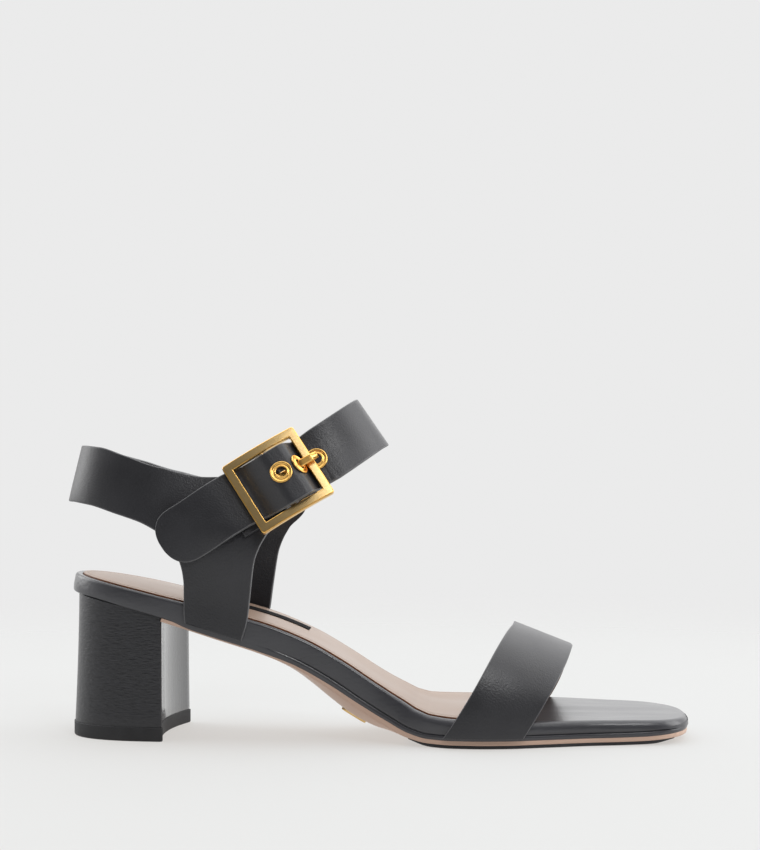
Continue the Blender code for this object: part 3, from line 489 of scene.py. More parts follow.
def cut_grid(grid, back, front, inset):
    """Keep the rows of a plan grid between two stations and end inside both."""
    rows = []
    for x in (back + inset, front - inset):
        i = int(np.searchsorted(STATIONS, x)) - 1
        t = (x - STATIONS[i]) / (STATIONS[i + 1] - STATIONS[i])
        rows.append(grid[i] * (1.0 - t) + grid[i + 1] * t)
    kept = grid[(STATIONS > back + 0.5) & (STATIONS < front - 0.5)]
    return np.concatenate([rows[:1], kept, rows[1:]])


def floor_height(x):
    """Height of the footbed's upper face inside its rim."""
    fade = smoothstep((RECESS_END - x) / RECESS_FADE + 0.5)
    return sole_thick(x) - RECESS_DEPTH * fade


def toe_ripple(x, y):
    """Small puckers where the leather is lasted round the toe, from minus 1 to 1."""
    along = x - 0.6 * y
    waves = np.sin(along * 1.9) + np.sin(along * 2.7 + 1.3) + 0.6 * np.sin(along * 4.3 + 0.4)
    return waves / 2.6 * smoothstep((x - RIPPLE_START) / RIPPLE_FADE)


def rand_hang(x):
    """How far the leather hangs over the outsole's edge under the waist."""
    start = smoothstep((x - HANG_START) / HANG_RISE)
    end = smoothstep((x - HANG_END) / HANG_FADE)
    return RAND_HANG * start * (1.0 - (1.0 - HANG_LEFT) * end)


def edge_size(x):
    """Size of the upper edge's rounding, smaller round the heel."""
    grown = smoothstep((x - HEEL_EDGE_END) / HEEL_EDGE_FADE)
    return HEEL_EDGE_SHARE + (1.0 - HEEL_EDGE_SHARE) * grown


def footbed_levels(ripple):
    """Rings up the footbed's edge, then its upper face with the insole's recess."""
    levels = []
    rand = smoothstep((STATIONS - RAND_START) / RAND_FADE)
    for inset, plain, height in zip(*RAND_EDGE.values()):
        plan = sole_grid(plain + (inset - plain) * rand)
        x, y = plan[:, :, 0], plan[:, :, 1]
        low = 1.0 - height / RAND_EDGE["height"][-1]
        levels.append(on_sole(x, y, height - rand_hang(x) * low))
    for turn in np.linspace(0.0, math.pi / 2.0, TOP_EDGE_STEPS):
        plan = sole_grid(TOP_EDGE_INSET * edge_size(STATIONS) * (1.0 - math.cos(turn)))
        x, y = plan[:, :, 0], plan[:, :, 1]
        drop = TOP_EDGE_DEPTH * edge_size(x) * (1.0 - math.sin(turn))
        pucker = ripple * toe_ripple(x, y) * math.sin(2.0 * turn) ** 2
        levels.append(on_sole(x, y, sole_thick(x) - drop + pucker))
    for inset, sink in ((RECESS_INSET - 0.1, 0.0), (RECESS_INSET, 1.0)):
        plan = sole_grid(inset)
        x, y = plan[:, :, 0], plan[:, :, 1]
        level = sole_thick(x) * (1.0 - sink) + floor_height(x) * sink
        levels.append(on_sole(x, y, level))
    return levels


def insole_levels():
    """The sock lying in the footbed's recess, with a soft upper edge."""
    levels = []
    steps = [(0.0, SEAT), (0.0, INSOLE_THICK - INSOLE_ROUND)]
    for turn in (0.4, 0.8, 1.2, math.pi / 2.0):
        inset = INSOLE_ROUND * (1.0 - math.cos(turn))
        steps.append((inset, INSOLE_THICK - INSOLE_ROUND * (1.0 - math.sin(turn))))
    for side, depth in ((-1.0, 0.0), (-0.4, 0.8), (0.0, 1.0), (0.4, 0.8), (1.0, 0.0)):
        steps.append((PRESS_INSET + side * PRESS_HALF, INSOLE_THICK - PRESS_DEPTH * depth))
    for inset, lift in steps:
        plan = sole_grid(INSOLE_INSET + inset)
        plan = np.array([row for row in plan if row[:, 0].mean() < INSOLE_END])
        x, y = plan[:, :, 0], plan[:, :, 1]
        levels.append(on_sole(x, y, floor_height(x) + lift))
    return levels


def label_sheet(rows=24, columns=8):
    """Patch of plain cloth on the sock, at the inner side of the waist."""
    x = np.linspace(LABEL_BACK, LABEL_FRONT, rows)[:, None]
    y = np.linspace(LABEL_OUTER, LABEL_INNER, columns)[None, :]
    x, y = np.broadcast_arrays(x, y)
    return on_sole(x, y, floor_height(x) + INSOLE_THICK + SEAT)


def heel_rows(length, half, back, grow=0.0, columns=25):
    """Plan rows of the heel from its round back to its hollow breast."""
    turn = np.linspace(0.0, math.pi / 2.0, 44)
    reach = length - HEEL_CORNER
    front = reach * (1.0 - np.cos(turn) ** (2.0 / HEEL_PLAN))
    side = half * np.sin(turn) ** (2.0 / HEEL_PLAN)
    corner = np.linspace(0.0, math.pi / 2.0, 6)[1:]
    front = np.concatenate([front, reach + HEEL_CORNER * np.sin(corner)])
    side = np.concatenate([side, half - HEEL_CORNER * (1.0 - np.cos(corner))])
    share = np.linspace(-1.0, 1.0, columns)
    rows = []
    for f, c in zip(front, side):
        near = smoothstep((f / length - HEEL_HOLLOW_FROM) / (1.0 - HEEL_HOLLOW_FROM))
        hollow = HEEL_HOLLOW * (1.0 - share ** 2) * near
        rows.append(np.stack([f - hollow, c * share], axis=-1))
    rows = np.array(rows)
    scale = np.array([1.0 + 2.0 * grow / length, 1.0 + grow / half])
    rows = rows * scale + np.array([back - grow, 0.0])
    cos = math.cos(HEEL_TURN)
    sin = math.sin(HEEL_TURN)
    x = HEEL_BACK_X + rows[:, :, 0] * cos - rows[:, :, 1] * sin
    y = HEEL_BACK_Y + rows[:, :, 0] * sin + rows[:, :, 1] * cos
    return x, y


def heel_levels():
    """Plans of the block from its base to the footbed, eased at the base's edge."""
    top_x, top_y = heel_rows(HEEL_TOP_LENGTH, HEEL_TOP_HALF, 0.0)
    top = on_sole(top_x, top_y, SEAT)
    levels = []
    steps = [(0.0, -HEEL_LIP), (0.006, -0.1)]
    steps += [(share, 0.0) for share in np.linspace(0.015, 1.0, HEEL_LEVELS)]
    for share, grow in steps:
        base_x, base_y = heel_rows(HEEL_BASE_LENGTH, HEEL_BASE_HALF, HEEL_BASE_BACK, grow)
        base = np.stack([base_x, base_y, np.full(base_x.shape, TIP_HEIGHT)], axis=-1)
        flare = (1.0 - share) ** HEEL_FLARE
        plan = base[:, :, :2] * flare + top[:, :, :2] * (1.0 - flare)
        height = base[:, :, 2:] * (1.0 - share) + top[:, :, 2:] * share
        levels.append(np.concatenate([plan, height], axis=2))
    return levels


def heel_tip_levels():
    """The rubber top piece, eased at both of its edges."""
    levels = []
    steps = ((-0.2, 0.0), (0.1, 0.12), (TIP_PROUD, 0.5), (TIP_PROUD, TIP_HEIGHT - 0.2), (0.1, TIP_HEIGHT))
    for grow, height in steps:
        x, y = heel_rows(HEEL_BASE_LENGTH, HEEL_BASE_HALF, HEEL_BASE_BACK, grow)
        levels.append(np.stack([x, y, np.full(x.shape, height)], axis=-1))
    return levels


def breast_line(share):
    """Station of the top of the heel's breast, from the outer to the inner corner."""
    x = heel_rows(HEEL_TOP_LENGTH, HEEL_TOP_HALF, 0.0, columns=41)[0]
    return np.interp(share, np.linspace(0.0, 1.0, 41), x[-1])


def outsole_depth(x, y):
    """Depth of the outsole's lower face below the footbed."""
    outer = -half_width("outer", x)
    inner = half_width("inner", x)
    middle = (outer + inner) / 2.0
    reach = np.clip(np.abs(y - middle) / np.maximum((inner - outer) / 2.0, 1.0), 0.0, 1.0)
    return GAP + outsole_edge(x) + outsole_crown(x) * (1.0 - reach ** CROWN_POWER)


def outsole_levels(columns=31):
    """The tan sole: it starts at the heel's breast and is crowned under the waist."""
    levels = []
    for inset, share in ((0.35, 0.0), (0.12, 0.1), (0.0, 0.3), (0.0, 1.0)):
        plan = sole_grid(OUTSOLE_INSET + inset, columns)
        plan = np.array([row for row in plan if row[:, 0].mean() > OUTSOLE_BACK_X])
        edge_x = breast_line(np.linspace(0.0, 1.0, columns)) + OUTSOLE_BACK_GAP
        first = np.stack([edge_x, plan[0, :, 1]], axis=-1)
        plan = np.concatenate([first[None], plan])
        depth = outsole_depth(plan[:, :, 0], plan[:, :, 1])
        height = -depth * (1.0 - share) + SEAT * share
        levels.append(on_sole(plan[:, :, 0], plan[:, :, 1], height))
    return levels


def tread_levels():
    """The rubber half sole, flat on the floor under the ball."""
    levels = []
    for inset, share in ((0.35, 1.0), (0.1, 0.85), (0.0, 0.6), (0.0, -0.05)):
        plan = cut_grid(sole_grid(TREAD_INSET + inset), TREAD_BACK, TREAD_FRONT, inset)
        x = plan[:, :, 0]
        top = outsole_depth(x, plan[:, :, 1])
        inside = np.minimum(x - TREAD_BACK, TREAD_FRONT - x) / TREAD_SKIVE
        share = share * (TREAD_THIN + (1.0 - TREAD_THIN) * smoothstep(inside))
        points = on_sole(x, plan[:, :, 1], -top - (TREAD_THICK + GAP) * share)
        points[:, :, 2] = np.maximum(points[:, :, 2], TREAD_THICK * (1.0 - share))
        levels.append(points)
    return levels


def forefoot(x, turn):
    """Point of the foot's top: turn is 0 at the outer edge and pi at the inner edge."""
    outer = -half_width("outer", x) - GAP
    inner = half_width("inner", x) + GAP
    power = 2.0 / TOE_ROUNDNESS
    reach = np.where(turn < math.pi / 2.0, outer - TOE_CREST_Y, inner - TOE_CREST_Y)
    crest = TOE_CREST_Z - TOE_CREST_FALL * (x - TOE_CREST_X)
    y = TOE_CREST_Y + reach * np.abs(np.cos(turn)) ** power
    z = TOE_LOW + (crest - TOE_LOW) * np.abs(np.sin(turn)) ** power
    return y, z


def toe_strap_sheet(rows=141, columns=33):
    """Inner face of the band over the toes, between its two leaning edges."""
    turn = np.linspace(0.0, math.pi, rows)[:, None]
    share = np.linspace(0.0, 1.0, columns)[None, :]
    bulge = TOE_REAR_BULGE * (1.0 - share) * np.sin(2.0 * turn) ** 2
    forward = TOE_INNER_FORWARD * np.cos(turn) ** 2
    shift = np.where(turn > math.pi / 2.0, forward + 0.5 * bulge, -bulge)
    away = np.abs(np.cos(turn)) ** (2.0 / TOE_ROUNDNESS) / TOE_CORNER_REACH
    near = np.clip(1.0 - away, 0.0, 1.0) ** TOE_CORNER_POWER
    corner = np.where(turn > math.pi / 2.0, np.sin(turn) ** 2, near)
    shift = shift + TOE_CORNER * corner * (1.0 - share) + TOE_TIP * near * share
    base = TOE_REAR_X + (TOE_FRONT_X - TOE_REAR_X) * share + shift
    x = base
    for _ in range(30):
        y, z = forefoot(x, turn)
        x = base + TOE_LEAN * (z - TOE_LOW)
    y, z = forefoot(x, turn)
    return np.stack([x, y, z], axis=-1)


def band_place(p, w):
    """Side-view place of a point of the ankle band."""
    x = BUCKLE_X + p * math.cos(STRAP_TURN) - w * math.sin(STRAP_TURN)
    rise = p * math.sin(STRAP_TURN) + w * math.cos(STRAP_TURN)
    return x, BUCKLE_Z + rise * math.cos(ANKLE_TILT)


def foot_station(x, z):
    """Sole station whose edge passes a side-view place."""
    station = x
    for _ in range(4):
        inside = np.clip(station, 0.5, LENGTH - 0.5)
        slope = sole_line(inside + 0.5) - sole_line(inside - 0.5)
        run = np.hypot(1.0, slope)
        height = np.clip((z - sole_line(station)) * run, 0.0, sole_thick(station))
        station = x + height * slope / run
    return station


def ankle_half(side, x, z):
    """Half width of the quarter's outer face, before it bends round the heel."""
    rise = z - BUCKLE_Z
    under = np.minimum(rise - LEAN_LOW, 0.0) / LEAN_EASE
    over = np.maximum(rise - LEAN_HIGH, 0.0) / LEAN_EASE
    eased = np.clip(rise, LEAN_LOW, LEAN_HIGH) + LEAN_EASE * (np.exp(under) - np.exp(-over))
    flat = ANKLE_HALF[side] - math.tan(ANKLE_TILT) * eased
    heel = HEEL_SIDE_HALF[side] - HEEL_SIDE_LEAN * (z - HEEL_SIDE_Z)
    front = smoothstep((x - LEAN_BACK_X) / (LEAN_FRONT_X - LEAN_BACK_X))
    ankle = heel * (1.0 - front) + flat * front
    foot = half_width(side, foot_station(x, z)) + GAP + WALL
    rim = sole_line(x) + 1.05 * sole_thick(x)
    share = smoothstep((z - rim) / FOOT_BLEND)
    return foot * (1.0 - share) + ankle * share


def quarter_point(side, along, z):
    """Point of the quarter's outer face at a length round the heel and a height."""
    back = BACK_X + BACK_TILT * (z - BACK_Z)
    turn = np.clip(along / BACK_RUN, 0.0, 1.0) * math.pi / 2.0
    power = 2.0 / BACK_ROUND
    bend_x = BACK_BEND_X - (BACK_BEND_X - back) * np.cos(turn) ** power
    x = np.where(along < BACK_RUN, bend_x, BACK_BEND_X + along - BACK_RUN)
    sign = -1.0 if side == "outer" else 1.0
    y = sign * ankle_half(side, x, z) * np.sin(turn) ** power
    return np.stack([x, y, z], axis=-1)


def quarter_half(side, rows, columns):
    """Outer face of half the quarter, from the back of the heel to a post's foot."""
    foot_back = POST_FOOT_BACK + BACK_BEND_X - BACK_RUN
    foot_front = POST_FOOT_FRONT + BACK_BEND_X - BACK_RUN
    forward = INNER_FORWARD if side == "inner" else 0.0
    row = np.arange(len(QUARTER["low_z"]) + 1)
    ease = smoothstep((row - 3.0) / 3.0) * forward
    ends = {
        "low_along": POST_FOOT_BACK,
        "low_z": sole_line(foot_back + forward) + POST_FOOT_LIFT,
        "top_along": POST_FOOT_FRONT,
        "top_z": sole_line(foot_front + forward) + POST_FOOT_LIFT,
    }
    fine = np.linspace(0.0, row[-1], rows)
    lines = {}
    for name, end in ends.items():
        values = np.append(QUARTER[name], end)
        if name.endswith("along"):
            values = values + ease
        if name == "top_z" and side == "inner":
            values = values - INNER_DROP * np.interp(row, INNER_DROP_ROWS, (0.0, 1.0, 1.0, 0.0))
        lines[name] = curve(row.astype(float), values)(fine)[:, None]
    share = np.linspace(0.0, 1.0, columns)[None, :]
    along = lines["low_along"] * (1.0 - share) + lines["top_along"] * share
    height = lines["low_z"] * (1.0 - share) + lines["top_z"] * share
    return quarter_point(side, along, height)


def quarter_sheet(rows=150, columns=25):
    """Outer face of the quarter, from the outer post's foot to the inner one."""
    outer = quarter_half("outer", rows, columns)
    inner = quarter_half("inner", rows, columns)
    return np.concatenate([outer[::-1], inner[1:]])


def band_point(side, p, w, height):
    """Point at a height above the quarter's plane beside the buckle."""
    x, z = band_place(p, w)
    sign = -1.0 if side == "outer" else 1.0
    y = sign * ankle_half(side, x, z)
    normal = np.array([0.0, sign * math.cos(ANKLE_TILT), math.sin(ANKLE_TILT)])
    return np.stack([x, y, z], axis=-1) + np.asarray(height)[..., None] * normal


def ramp(foot_p, slope, radius, sign):
    """Rise of the strap from its seat to its top: two arcs and the line between them."""
    rise = TOP_HEIGHT - SEAT_HEIGHT
    straight = (rise - 2.0 * radius * (1.0 - math.cos(slope))) / math.sin(slope)
    turn = np.linspace(0.0, slope, 11)
    p = list(radius * np.sin(turn))
    d = list(radius * (1.0 - np.cos(turn)))
    foot = (p[-1], d[-1])
    for part in np.linspace(0.0, 1.0, 10)[1:-1]:
        p.append(foot[0] + part * straight * math.cos(slope))
        d.append(foot[1] + part * straight * math.sin(slope))
    end_p = foot[0] + straight * math.cos(slope)
    end_d = foot[1] + straight * math.sin(slope)
    back = turn[::-1]
    p += list(end_p + radius * (math.sin(slope) - np.sin(back)))
    d += list(end_d + radius * (np.cos(back) - math.cos(slope)))
    return foot_p + sign * np.array(p), SEAT_HEIGHT + np.array(d)


def slope_point(run):
    """Place on the front slope at a run up from its lower arc."""
    p = FRONT_FOOT_P - FRONT_RADIUS * math.sin(FRONT_SLOPE) - run * math.cos(FRONT_SLOPE)
    d = SEAT_HEIGHT + FRONT_RADIUS * (1.0 - math.cos(FRONT_SLOPE)) + run * math.sin(FRONT_SLOPE)
    return p, d


def strap_rows():
    """Middle line of the ankle strap: side, p, height, share of the front bend, width."""
    rows = []
    for angle in np.linspace(TIP_START, math.pi / 2.0, 36):
        p = TIP_P + TIP_RUN * (1.0 - math.cos(angle) ** (2.0 / TIP_ROUND))
        rows.append(("outer", p, TAIL_HEIGHT, 0.0, math.sin(angle) ** (2.0 / TIP_ROUND)))
    for p in np.linspace(TIP_P + TIP_RUN, SEAT_P, 26)[1:]:
        seated = smoothstep((p - TAIL_P) / (SEAT_P - TAIL_P))
        height = TAIL_HEIGHT + (SEAT_HEIGHT - TAIL_HEIGHT) * seated
        rows.append(("outer", p, height, 0.0, 1.0))
    for p in np.linspace(SEAT_P, REAR_FOOT_P, 12)[1:-1]:
        rows.append(("outer", p, SEAT_HEIGHT, 0.0, 1.0))
    rear_p, rear_d = ramp(REAR_FOOT_P, REAR_SLOPE, REAR_RADIUS, 1.0)
    front_p, front_d = ramp(FRONT_FOOT_P, FRONT_SLOPE, FRONT_RADIUS, -1.0)
    for p, d in list(zip(rear_p, rear_d)) + list(zip(front_p, front_d))[::-1]:
        rows.append(("outer", p, d, 0.0, 1.0))
    for p in np.linspace(FRONT_FOOT_P, FRONT_BEND_P, 14)[1:]:
        rows.append(("outer", p, SEAT_HEIGHT, 0.0, 1.0))
    for angle in np.linspace(0.0, math.pi, 121)[1:-1]:
        side = "outer" if angle <= math.pi / 2.0 else "inner"
        share = angle / math.pi
        height = SEAT_HEIGHT * (1.0 - share) + INNER_HEIGHT * share
        p = FRONT_BEND_P + (FRONT_P - FRONT_BEND_P) * math.sin(angle) ** (2.0 / FRONT_ROUND)
        rows.append((side, p, height, abs(math.cos(angle)) ** (2.0 / FRONT_ROUND), 1.0))
    for p in np.linspace(FRONT_BEND_P, INNER_END_P, 26):
        rows.append(("inner", p, INNER_HEIGHT, 0.0, 1.0))
    return rows


def strap_crease(p, w):
    """Depth of the creases at a place of the strap, as a share of the deepest one."""
    depth = np.zeros(np.shape(w))
    for place, deep, width, lean in zip(*STRAP_CREASES.values()):
        across = (p - place - lean * w) / width
        depth = depth + deep * np.exp(-across ** 2) * smoothstep((BAND_HALF - w) / BAND_HALF)
    return depth


def strap_sheet(crease, columns=21):
    """Middle surface of the ankle strap, which slides down a little over the bar."""
    share = np.linspace(-1.0, 1.0, columns)
    near, far = TAIL_EASE_P
    sheet = []
    for side, p, height, bend, size in strap_rows():
        in_bend = p > FRONT_BEND_P + 0.001
        half = BAND_HALF
        lift = FRONT_LIFT * max(p / FRONT_P, 0.0) ** 2
        sink = np.zeros(columns)
        if side == "outer":
            tail = smoothstep((p - near) / (far - near))
            rise = max(height - SEAT_HEIGHT, 0.0)
            half += (TAIL_HALF - BAND_HALF) * tail + FRONT_WIDEN * smoothstep((p - FRONT_FOOT_P) / 8.0)
            lift = lift + TAIL_LIFT * tail - TOP_SLIDE * rise
            lift = lift + TOP_WIDEN * rise / (TOP_HEIGHT - SEAT_HEIGHT) * np.maximum(share, 0.0)
            sink = crease * strap_crease(p, share * half * size)
        else:
            half += FRONT_WIDEN * smoothstep(1.0 - bend if in_bend else 0.0)
            lift += INNER_LIFT * smoothstep(bend if in_bend else 1.0)
        points = band_point(side, p, share * half * size + lift, height - sink)
        if in_bend:
            points[:, 1] = points[:, 1] * bend
        sheet.append(points)
    return np.array(sheet)


def buckle_axes():
    """Origin and unit axes p, w and d of the buckle."""
    origin = band_point("outer", 0.0, 0.0, 0.0)
    d_axis = band_point("outer", 0.0, 0.0, 1.0) - origin
    forward = np.array([1.0, 0.0, 0.0])
    up = np.cross(d_axis, forward)
    p_axis = math.cos(STRAP_TURN) * forward + math.sin(STRAP_TURN) * up
    w_axis = math.cos(STRAP_TURN) * up - math.sin(STRAP_TURN) * forward
    return origin, p_axis, w_axis, d_axis


def on_buckle(p, w, d):
    """Point in the buckle's own axes."""
    origin, p_axis, w_axis, d_axis = buckle_axes()
    p, w, d = (v[..., None] for v in np.broadcast_arrays(*(np.asarray(v, float) for v in (p, w, d))))
    return origin + p * p_axis + w * w_axis + d * d_axis


def eyelet_places():
    """Middle of the strap at each eyelet, with the slope it stands on."""
    slope_p, slope_d = slope_point(EYELET_SLOPE_RUN)
    return [
        (EYELET_PLATEAU_P, TOP_HEIGHT, 0.0),
        (slope_p, slope_d, FRONT_SLOPE),
        (EYELET_LAST_P, SEAT_HEIGHT, 0.0),
    ]


def turned_rings(profile, p, d, slope):
    """Turn a profile of radius and height about the strap's normal at a place."""
    angles = np.linspace(0.0, 2.0 * math.pi, EYELET_SIDES, endpoint=False)
    rings = []
    for radius, height in profile:
        along = radius * np.cos(angles)
        place_p = p + along * math.cos(slope) + height * math.sin(slope)
        place_d = d - along * math.sin(slope) + height * math.cos(slope)
        rings.append(on_buckle(place_p, radius * np.sin(angles), place_d))
    return np.array(rings)


def square_ring(half, corner):
    """Points of a square with round corners and points along its sides."""
    points = []
    for turn in range(4):
        cos = round(math.cos(turn * math.pi / 2.0))
        sin = round(math.sin(turn * math.pi / 2.0))
        middle = half - corner
        side = [(half, b) for b in np.linspace(-middle, middle, 13)[:-1]]
        angles = np.linspace(0.0, math.pi / 2.0, 6)[:-1]
        bend = [(middle + corner * math.cos(a), middle + corner * math.sin(a)) for a in angles]
        points += [(a * cos - b * sin, a * sin + b * cos) for a, b in side + bend]
    return np.array(points)


def frame_rings():
    """Rings round the frame's section, with a bright chamfer on every edge."""
    steps = (
        (FRAME_OUTER, FRAME_CORNER, FRAME_LOW + FRAME_EDGE),
        (FRAME_OUTER, FRAME_CORNER, FRAME_HIGH - FRAME_EDGE),
        (FRAME_OUTER - 0.08, FRAME_CORNER - 0.04, FRAME_HIGH - 0.16),
        (FRAME_OUTER - 0.20, FRAME_CORNER - 0.10, FRAME_HIGH - 0.04),
        (FRAME_OUTER - FRAME_EDGE, FRAME_CORNER - 0.20, FRAME_HIGH),
        (FRAME_INNER + FRAME_EDGE, WINDOW_CORNER + 0.10, FRAME_HIGH),
        (FRAME_INNER + 0.20, WINDOW_CORNER + 0.06, FRAME_HIGH - 0.04),
        (FRAME_INNER + 0.08, WINDOW_CORNER + 0.02, FRAME_HIGH - 0.16),
        (FRAME_INNER, WINDOW_CORNER, FRAME_HIGH - FRAME_EDGE),
        (FRAME_INNER, WINDOW_CORNER, FRAME_LOW + FRAME_EDGE),
        (FRAME_INNER + FRAME_EDGE, WINDOW_CORNER + 0.10, FRAME_LOW),
        (FRAME_OUTER - FRAME_EDGE, FRAME_CORNER - 0.20, FRAME_LOW),
    )
    rings = []
    for half, corner, height in steps:
        ring = square_ring(half, corner)
        bow = FRAME_BOW * (ring[:, 0] / FRAME_OUTER) ** 2
        rings.append(on_buckle(ring[:, 0], ring[:, 1], height - bow))
    return np.array(rings)


def arc(middle_p, middle_d, radius, start, end, count):
    """Points along an arc, with angles in degrees."""
    angles = np.radians(np.linspace(start, end, count))
    return [(middle_p + radius * math.cos(a), middle_d + radius * math.sin(a)) for a in angles]


def bar_circle(radius):
    """Outline of a round section about the frame's middle bar."""
    return arc(0.0, BAR_HEIGHT, radius, 0.0, 360.0 - 360.0 / BAR_SIDES, BAR_SIDES)


def prism_rings(outline, half):
    """An outline of p and d at both ends of a run across the strap."""
    flat = np.array(outline)
    return np.array([on_buckle(flat[:, 0], w, flat[:, 1]) for w in (-half, half)])


def loop_outline():
    """Section of the leather loop: a tail on the quarter that turns round the bar."""
    ring = BAR_RADIUS + GAP + LOOP_THICK
    outline = [(LOOP_TAIL_P, LOOP_TAIL_LOW), (LOOP_NECK_P, LOOP_TAIL_LOW)]
    outline += arc(0.0, BAR_HEIGHT, ring, -70.0, 180.0, 28)
    outline.append((LOOP_NECK_P + 1.4, LOOP_TAIL_HIGH + LOOP_NECK_RISE))
    outline += [(LOOP_NECK_P - 1.5, LOOP_TAIL_HIGH), (LOOP_TAIL_P, LOOP_TAIL_HIGH)]
    return outline


def prong_rings(sections=33):
    """Eight-sided sections along the prong, thinner at its tip."""
    steps = np.arange(len(PRONG_PATH["p"]), dtype=float)
    fine = np.linspace(0.0, steps[-1], sections)
    p = curve(steps, PRONG_PATH["p"])(fine)
    d = curve(steps, PRONG_PATH["d"])(fine)
    slope = np.arctan2(np.gradient(d), np.gradient(p))
    rings = []
    for i in range(sections):
        taper = smoothstep((p[i] - PRONG_TAPER_P) / PRONG_TAPER_RUN)
        thin = 1.0 - PRONG_TIP_THIN * taper
        thick = PRONG_THICK / 2.0 * thin
        wide = PRONG_HALF * (1.0 - PRONG_TIP_NARROW * taper)
        w = np.array([-1, 1, 1, 1, 1, -1, -1, -1]) * wide
        w = w - np.array([-1, 1, 0, 0, 1, -1, 0, 0]) * PRONG_EDGE
        rise = np.array([1, 1, 1, -1, -1, -1, -1, 1]) * thick
        rise = rise - np.array([0, 0, 1, -1, 0, 0, -1, 1]) * PRONG_EDGE * thin
        rings.append(on_buckle(p[i] - rise * math.sin(slope[i]), w, d[i] + rise * math.cos(slope[i])))
    return np.array(rings)


def plate_levels():
    """The small blank plate under the waist."""
    long_half = PLATE_LENGTH / 2.0
    wide_half = PLATE_WIDTH / 2.0
    x = PLATE_X + long_half * np.array([-1.0, 1.0, 0.0, 0.0])
    y = PLATE_Y + wide_half * np.array([0.0, 0.0, -1.0, 1.0])
    face = on_sole(x, y, -outsole_depth(x, y))
    along = face[1] - face[0]
    along = along / np.linalg.norm(along)
    down = np.cross(face[3] - face[2], along)
    down = down / np.linalg.norm(down)
    across = np.cross(along, down)
    middle = on_sole(PLATE_X, PLATE_Y, -outsole_depth(PLATE_X, PLATE_Y)) + 0.1 * down
    share = np.linspace(-1.0, 1.0, 33)[:, None, None]
    side = np.linspace(-1.0, 1.0, 13)[None, :, None]
    narrow = 1.0 - PLATE_END_NARROW * np.abs(share) ** 6
    levels = []
    steps = ((0.0, 0.0), (0.0, PLATE_THICK), (0.08, PLATE_THICK + 0.14), (0.3, PLATE_THICK + 0.2))
    for inset, height in steps:
        forward = (long_half - inset) * share * along
        sideways = (wide_half - inset) * narrow * side * across
        levels.append(middle + forward + sideways + height * down)
    return levels


def grid_normals(grid):
    """Unit normals of a grid of points."""
    along = np.gradient(grid, axis=0)
    across = np.gradient(grid, axis=1)
    normal = np.cross(along, across)
    return normal / np.linalg.norm(normal, axis=2, keepdims=True)


def pull_rim(sheet, inset):
    """Move the rim of a sheet inwards along the sheet."""
    moved = sheet.copy()
    for edge, beside in ((0, 1), (-1, -2)):
        for view, source in ((moved, sheet), (moved.swapaxes(0, 1), sheet.swapaxes(0, 1))):
            inward = source[beside] - source[edge]
            inward = inward / np.maximum(np.linalg.norm(inward, axis=1, keepdims=True), 0.001)
            view[edge] += inset * inward
    return moved


def wall_levels(sheet, low, high, edge, steps=4):
    """Sheets through a wall from low to high along its normals, with round rims."""
    normal = grid_normals(sheet)
    sign = math.copysign(1.0, high - low)
    turns = np.linspace(0.0, math.pi / 2.0, steps)
    levels = []
    for face, towards, order in ((low, sign, turns), (high, -sign, turns[::-1])):
        for turn in order:
            inset = edge * (1.0 - math.sin(turn))
            rise = edge * (1.0 - math.cos(turn))
            levels.append(pull_rim(sheet, inset) + (face + towards * rise) * normal)
    return levels


def fresh():
    """Leave edit mode and select nothing."""
    if bpy.context.mode != "OBJECT":
        bpy.ops.object.mode_set(mode="OBJECT")
    bpy.ops.object.select_all(action="DESELECT")


def row_frame(points):
    """Shoe millimetres as metres in the part's frame."""
    return (np.asarray(points, float) - CENTRE) * MM


def read_points(mesh):
    """Vertices of a mesh as an array."""
    flat = np.zeros(len(mesh.vertices) * 3)
    mesh.vertices.foreach_get("co", flat)
    return flat.reshape(-1, 3)


def read_numbers(mesh, name):
    """A whole-number attribute of the vertices as an array."""
    values = np.zeros(len(mesh.vertices), np.int32)
    mesh.attributes[name].data.foreach_get("value", values)
    return values


def write_numbers(mesh, name, values):
    """Keep a whole number on each vertex."""
    found = mesh.attributes.get(name) or mesh.attributes.new(name, "INT", "POINT")
    found.data.foreach_set("value", np.asarray(values, np.int32))


def name_piece(name):
    """Name the new active object and its mesh."""
    piece = bpy.context.active_object
    piece.name = name
    piece.data.name = name
    return piece


def settle(piece, points, level):
    """Set the selected vertices on their places in a list of points."""
    mesh = piece.data
    chosen = np.zeros(len(mesh.vertices), bool)
    mesh.vertices.foreach_get("select", chosen)
    place = read_numbers(mesh, "place")
    levels = read_numbers(mesh, "level")
    now = read_points(mesh)
    now[chosen] = row_frame(points)[place[chosen]]
    levels[chosen] = level
    mesh.vertices.foreach_set("co", now.ravel())
    write_numbers(mesh, "level", levels)
    mesh.update()


def extrude_to(piece, points, level):
    """Extrude what is selected and set the new vertices on their places."""
    bpy.ops.object.mode_set(mode="EDIT")
    bpy.ops.mesh.extrude_region_move()
    bpy.ops.object.mode_set(mode="OBJECT")
    settle(piece, points, level)


def close_up(piece, angle=40.0):
    """Merge doubles, turn the faces outwards and shade the piece smooth."""
    bpy.ops.object.mode_set(mode="EDIT")
    bpy.ops.mesh.select_all(action="SELECT")
    bpy.ops.mesh.remove_doubles(threshold=0.000002)
    bpy.ops.mesh.dissolve_degenerate(threshold=0.000002)
    bpy.ops.mesh.normals_make_consistent(inside=False)
    bpy.ops.object.mode_set(mode="OBJECT")
    bpy.ops.object.shade_smooth_by_angle(angle=math.radians(angle))


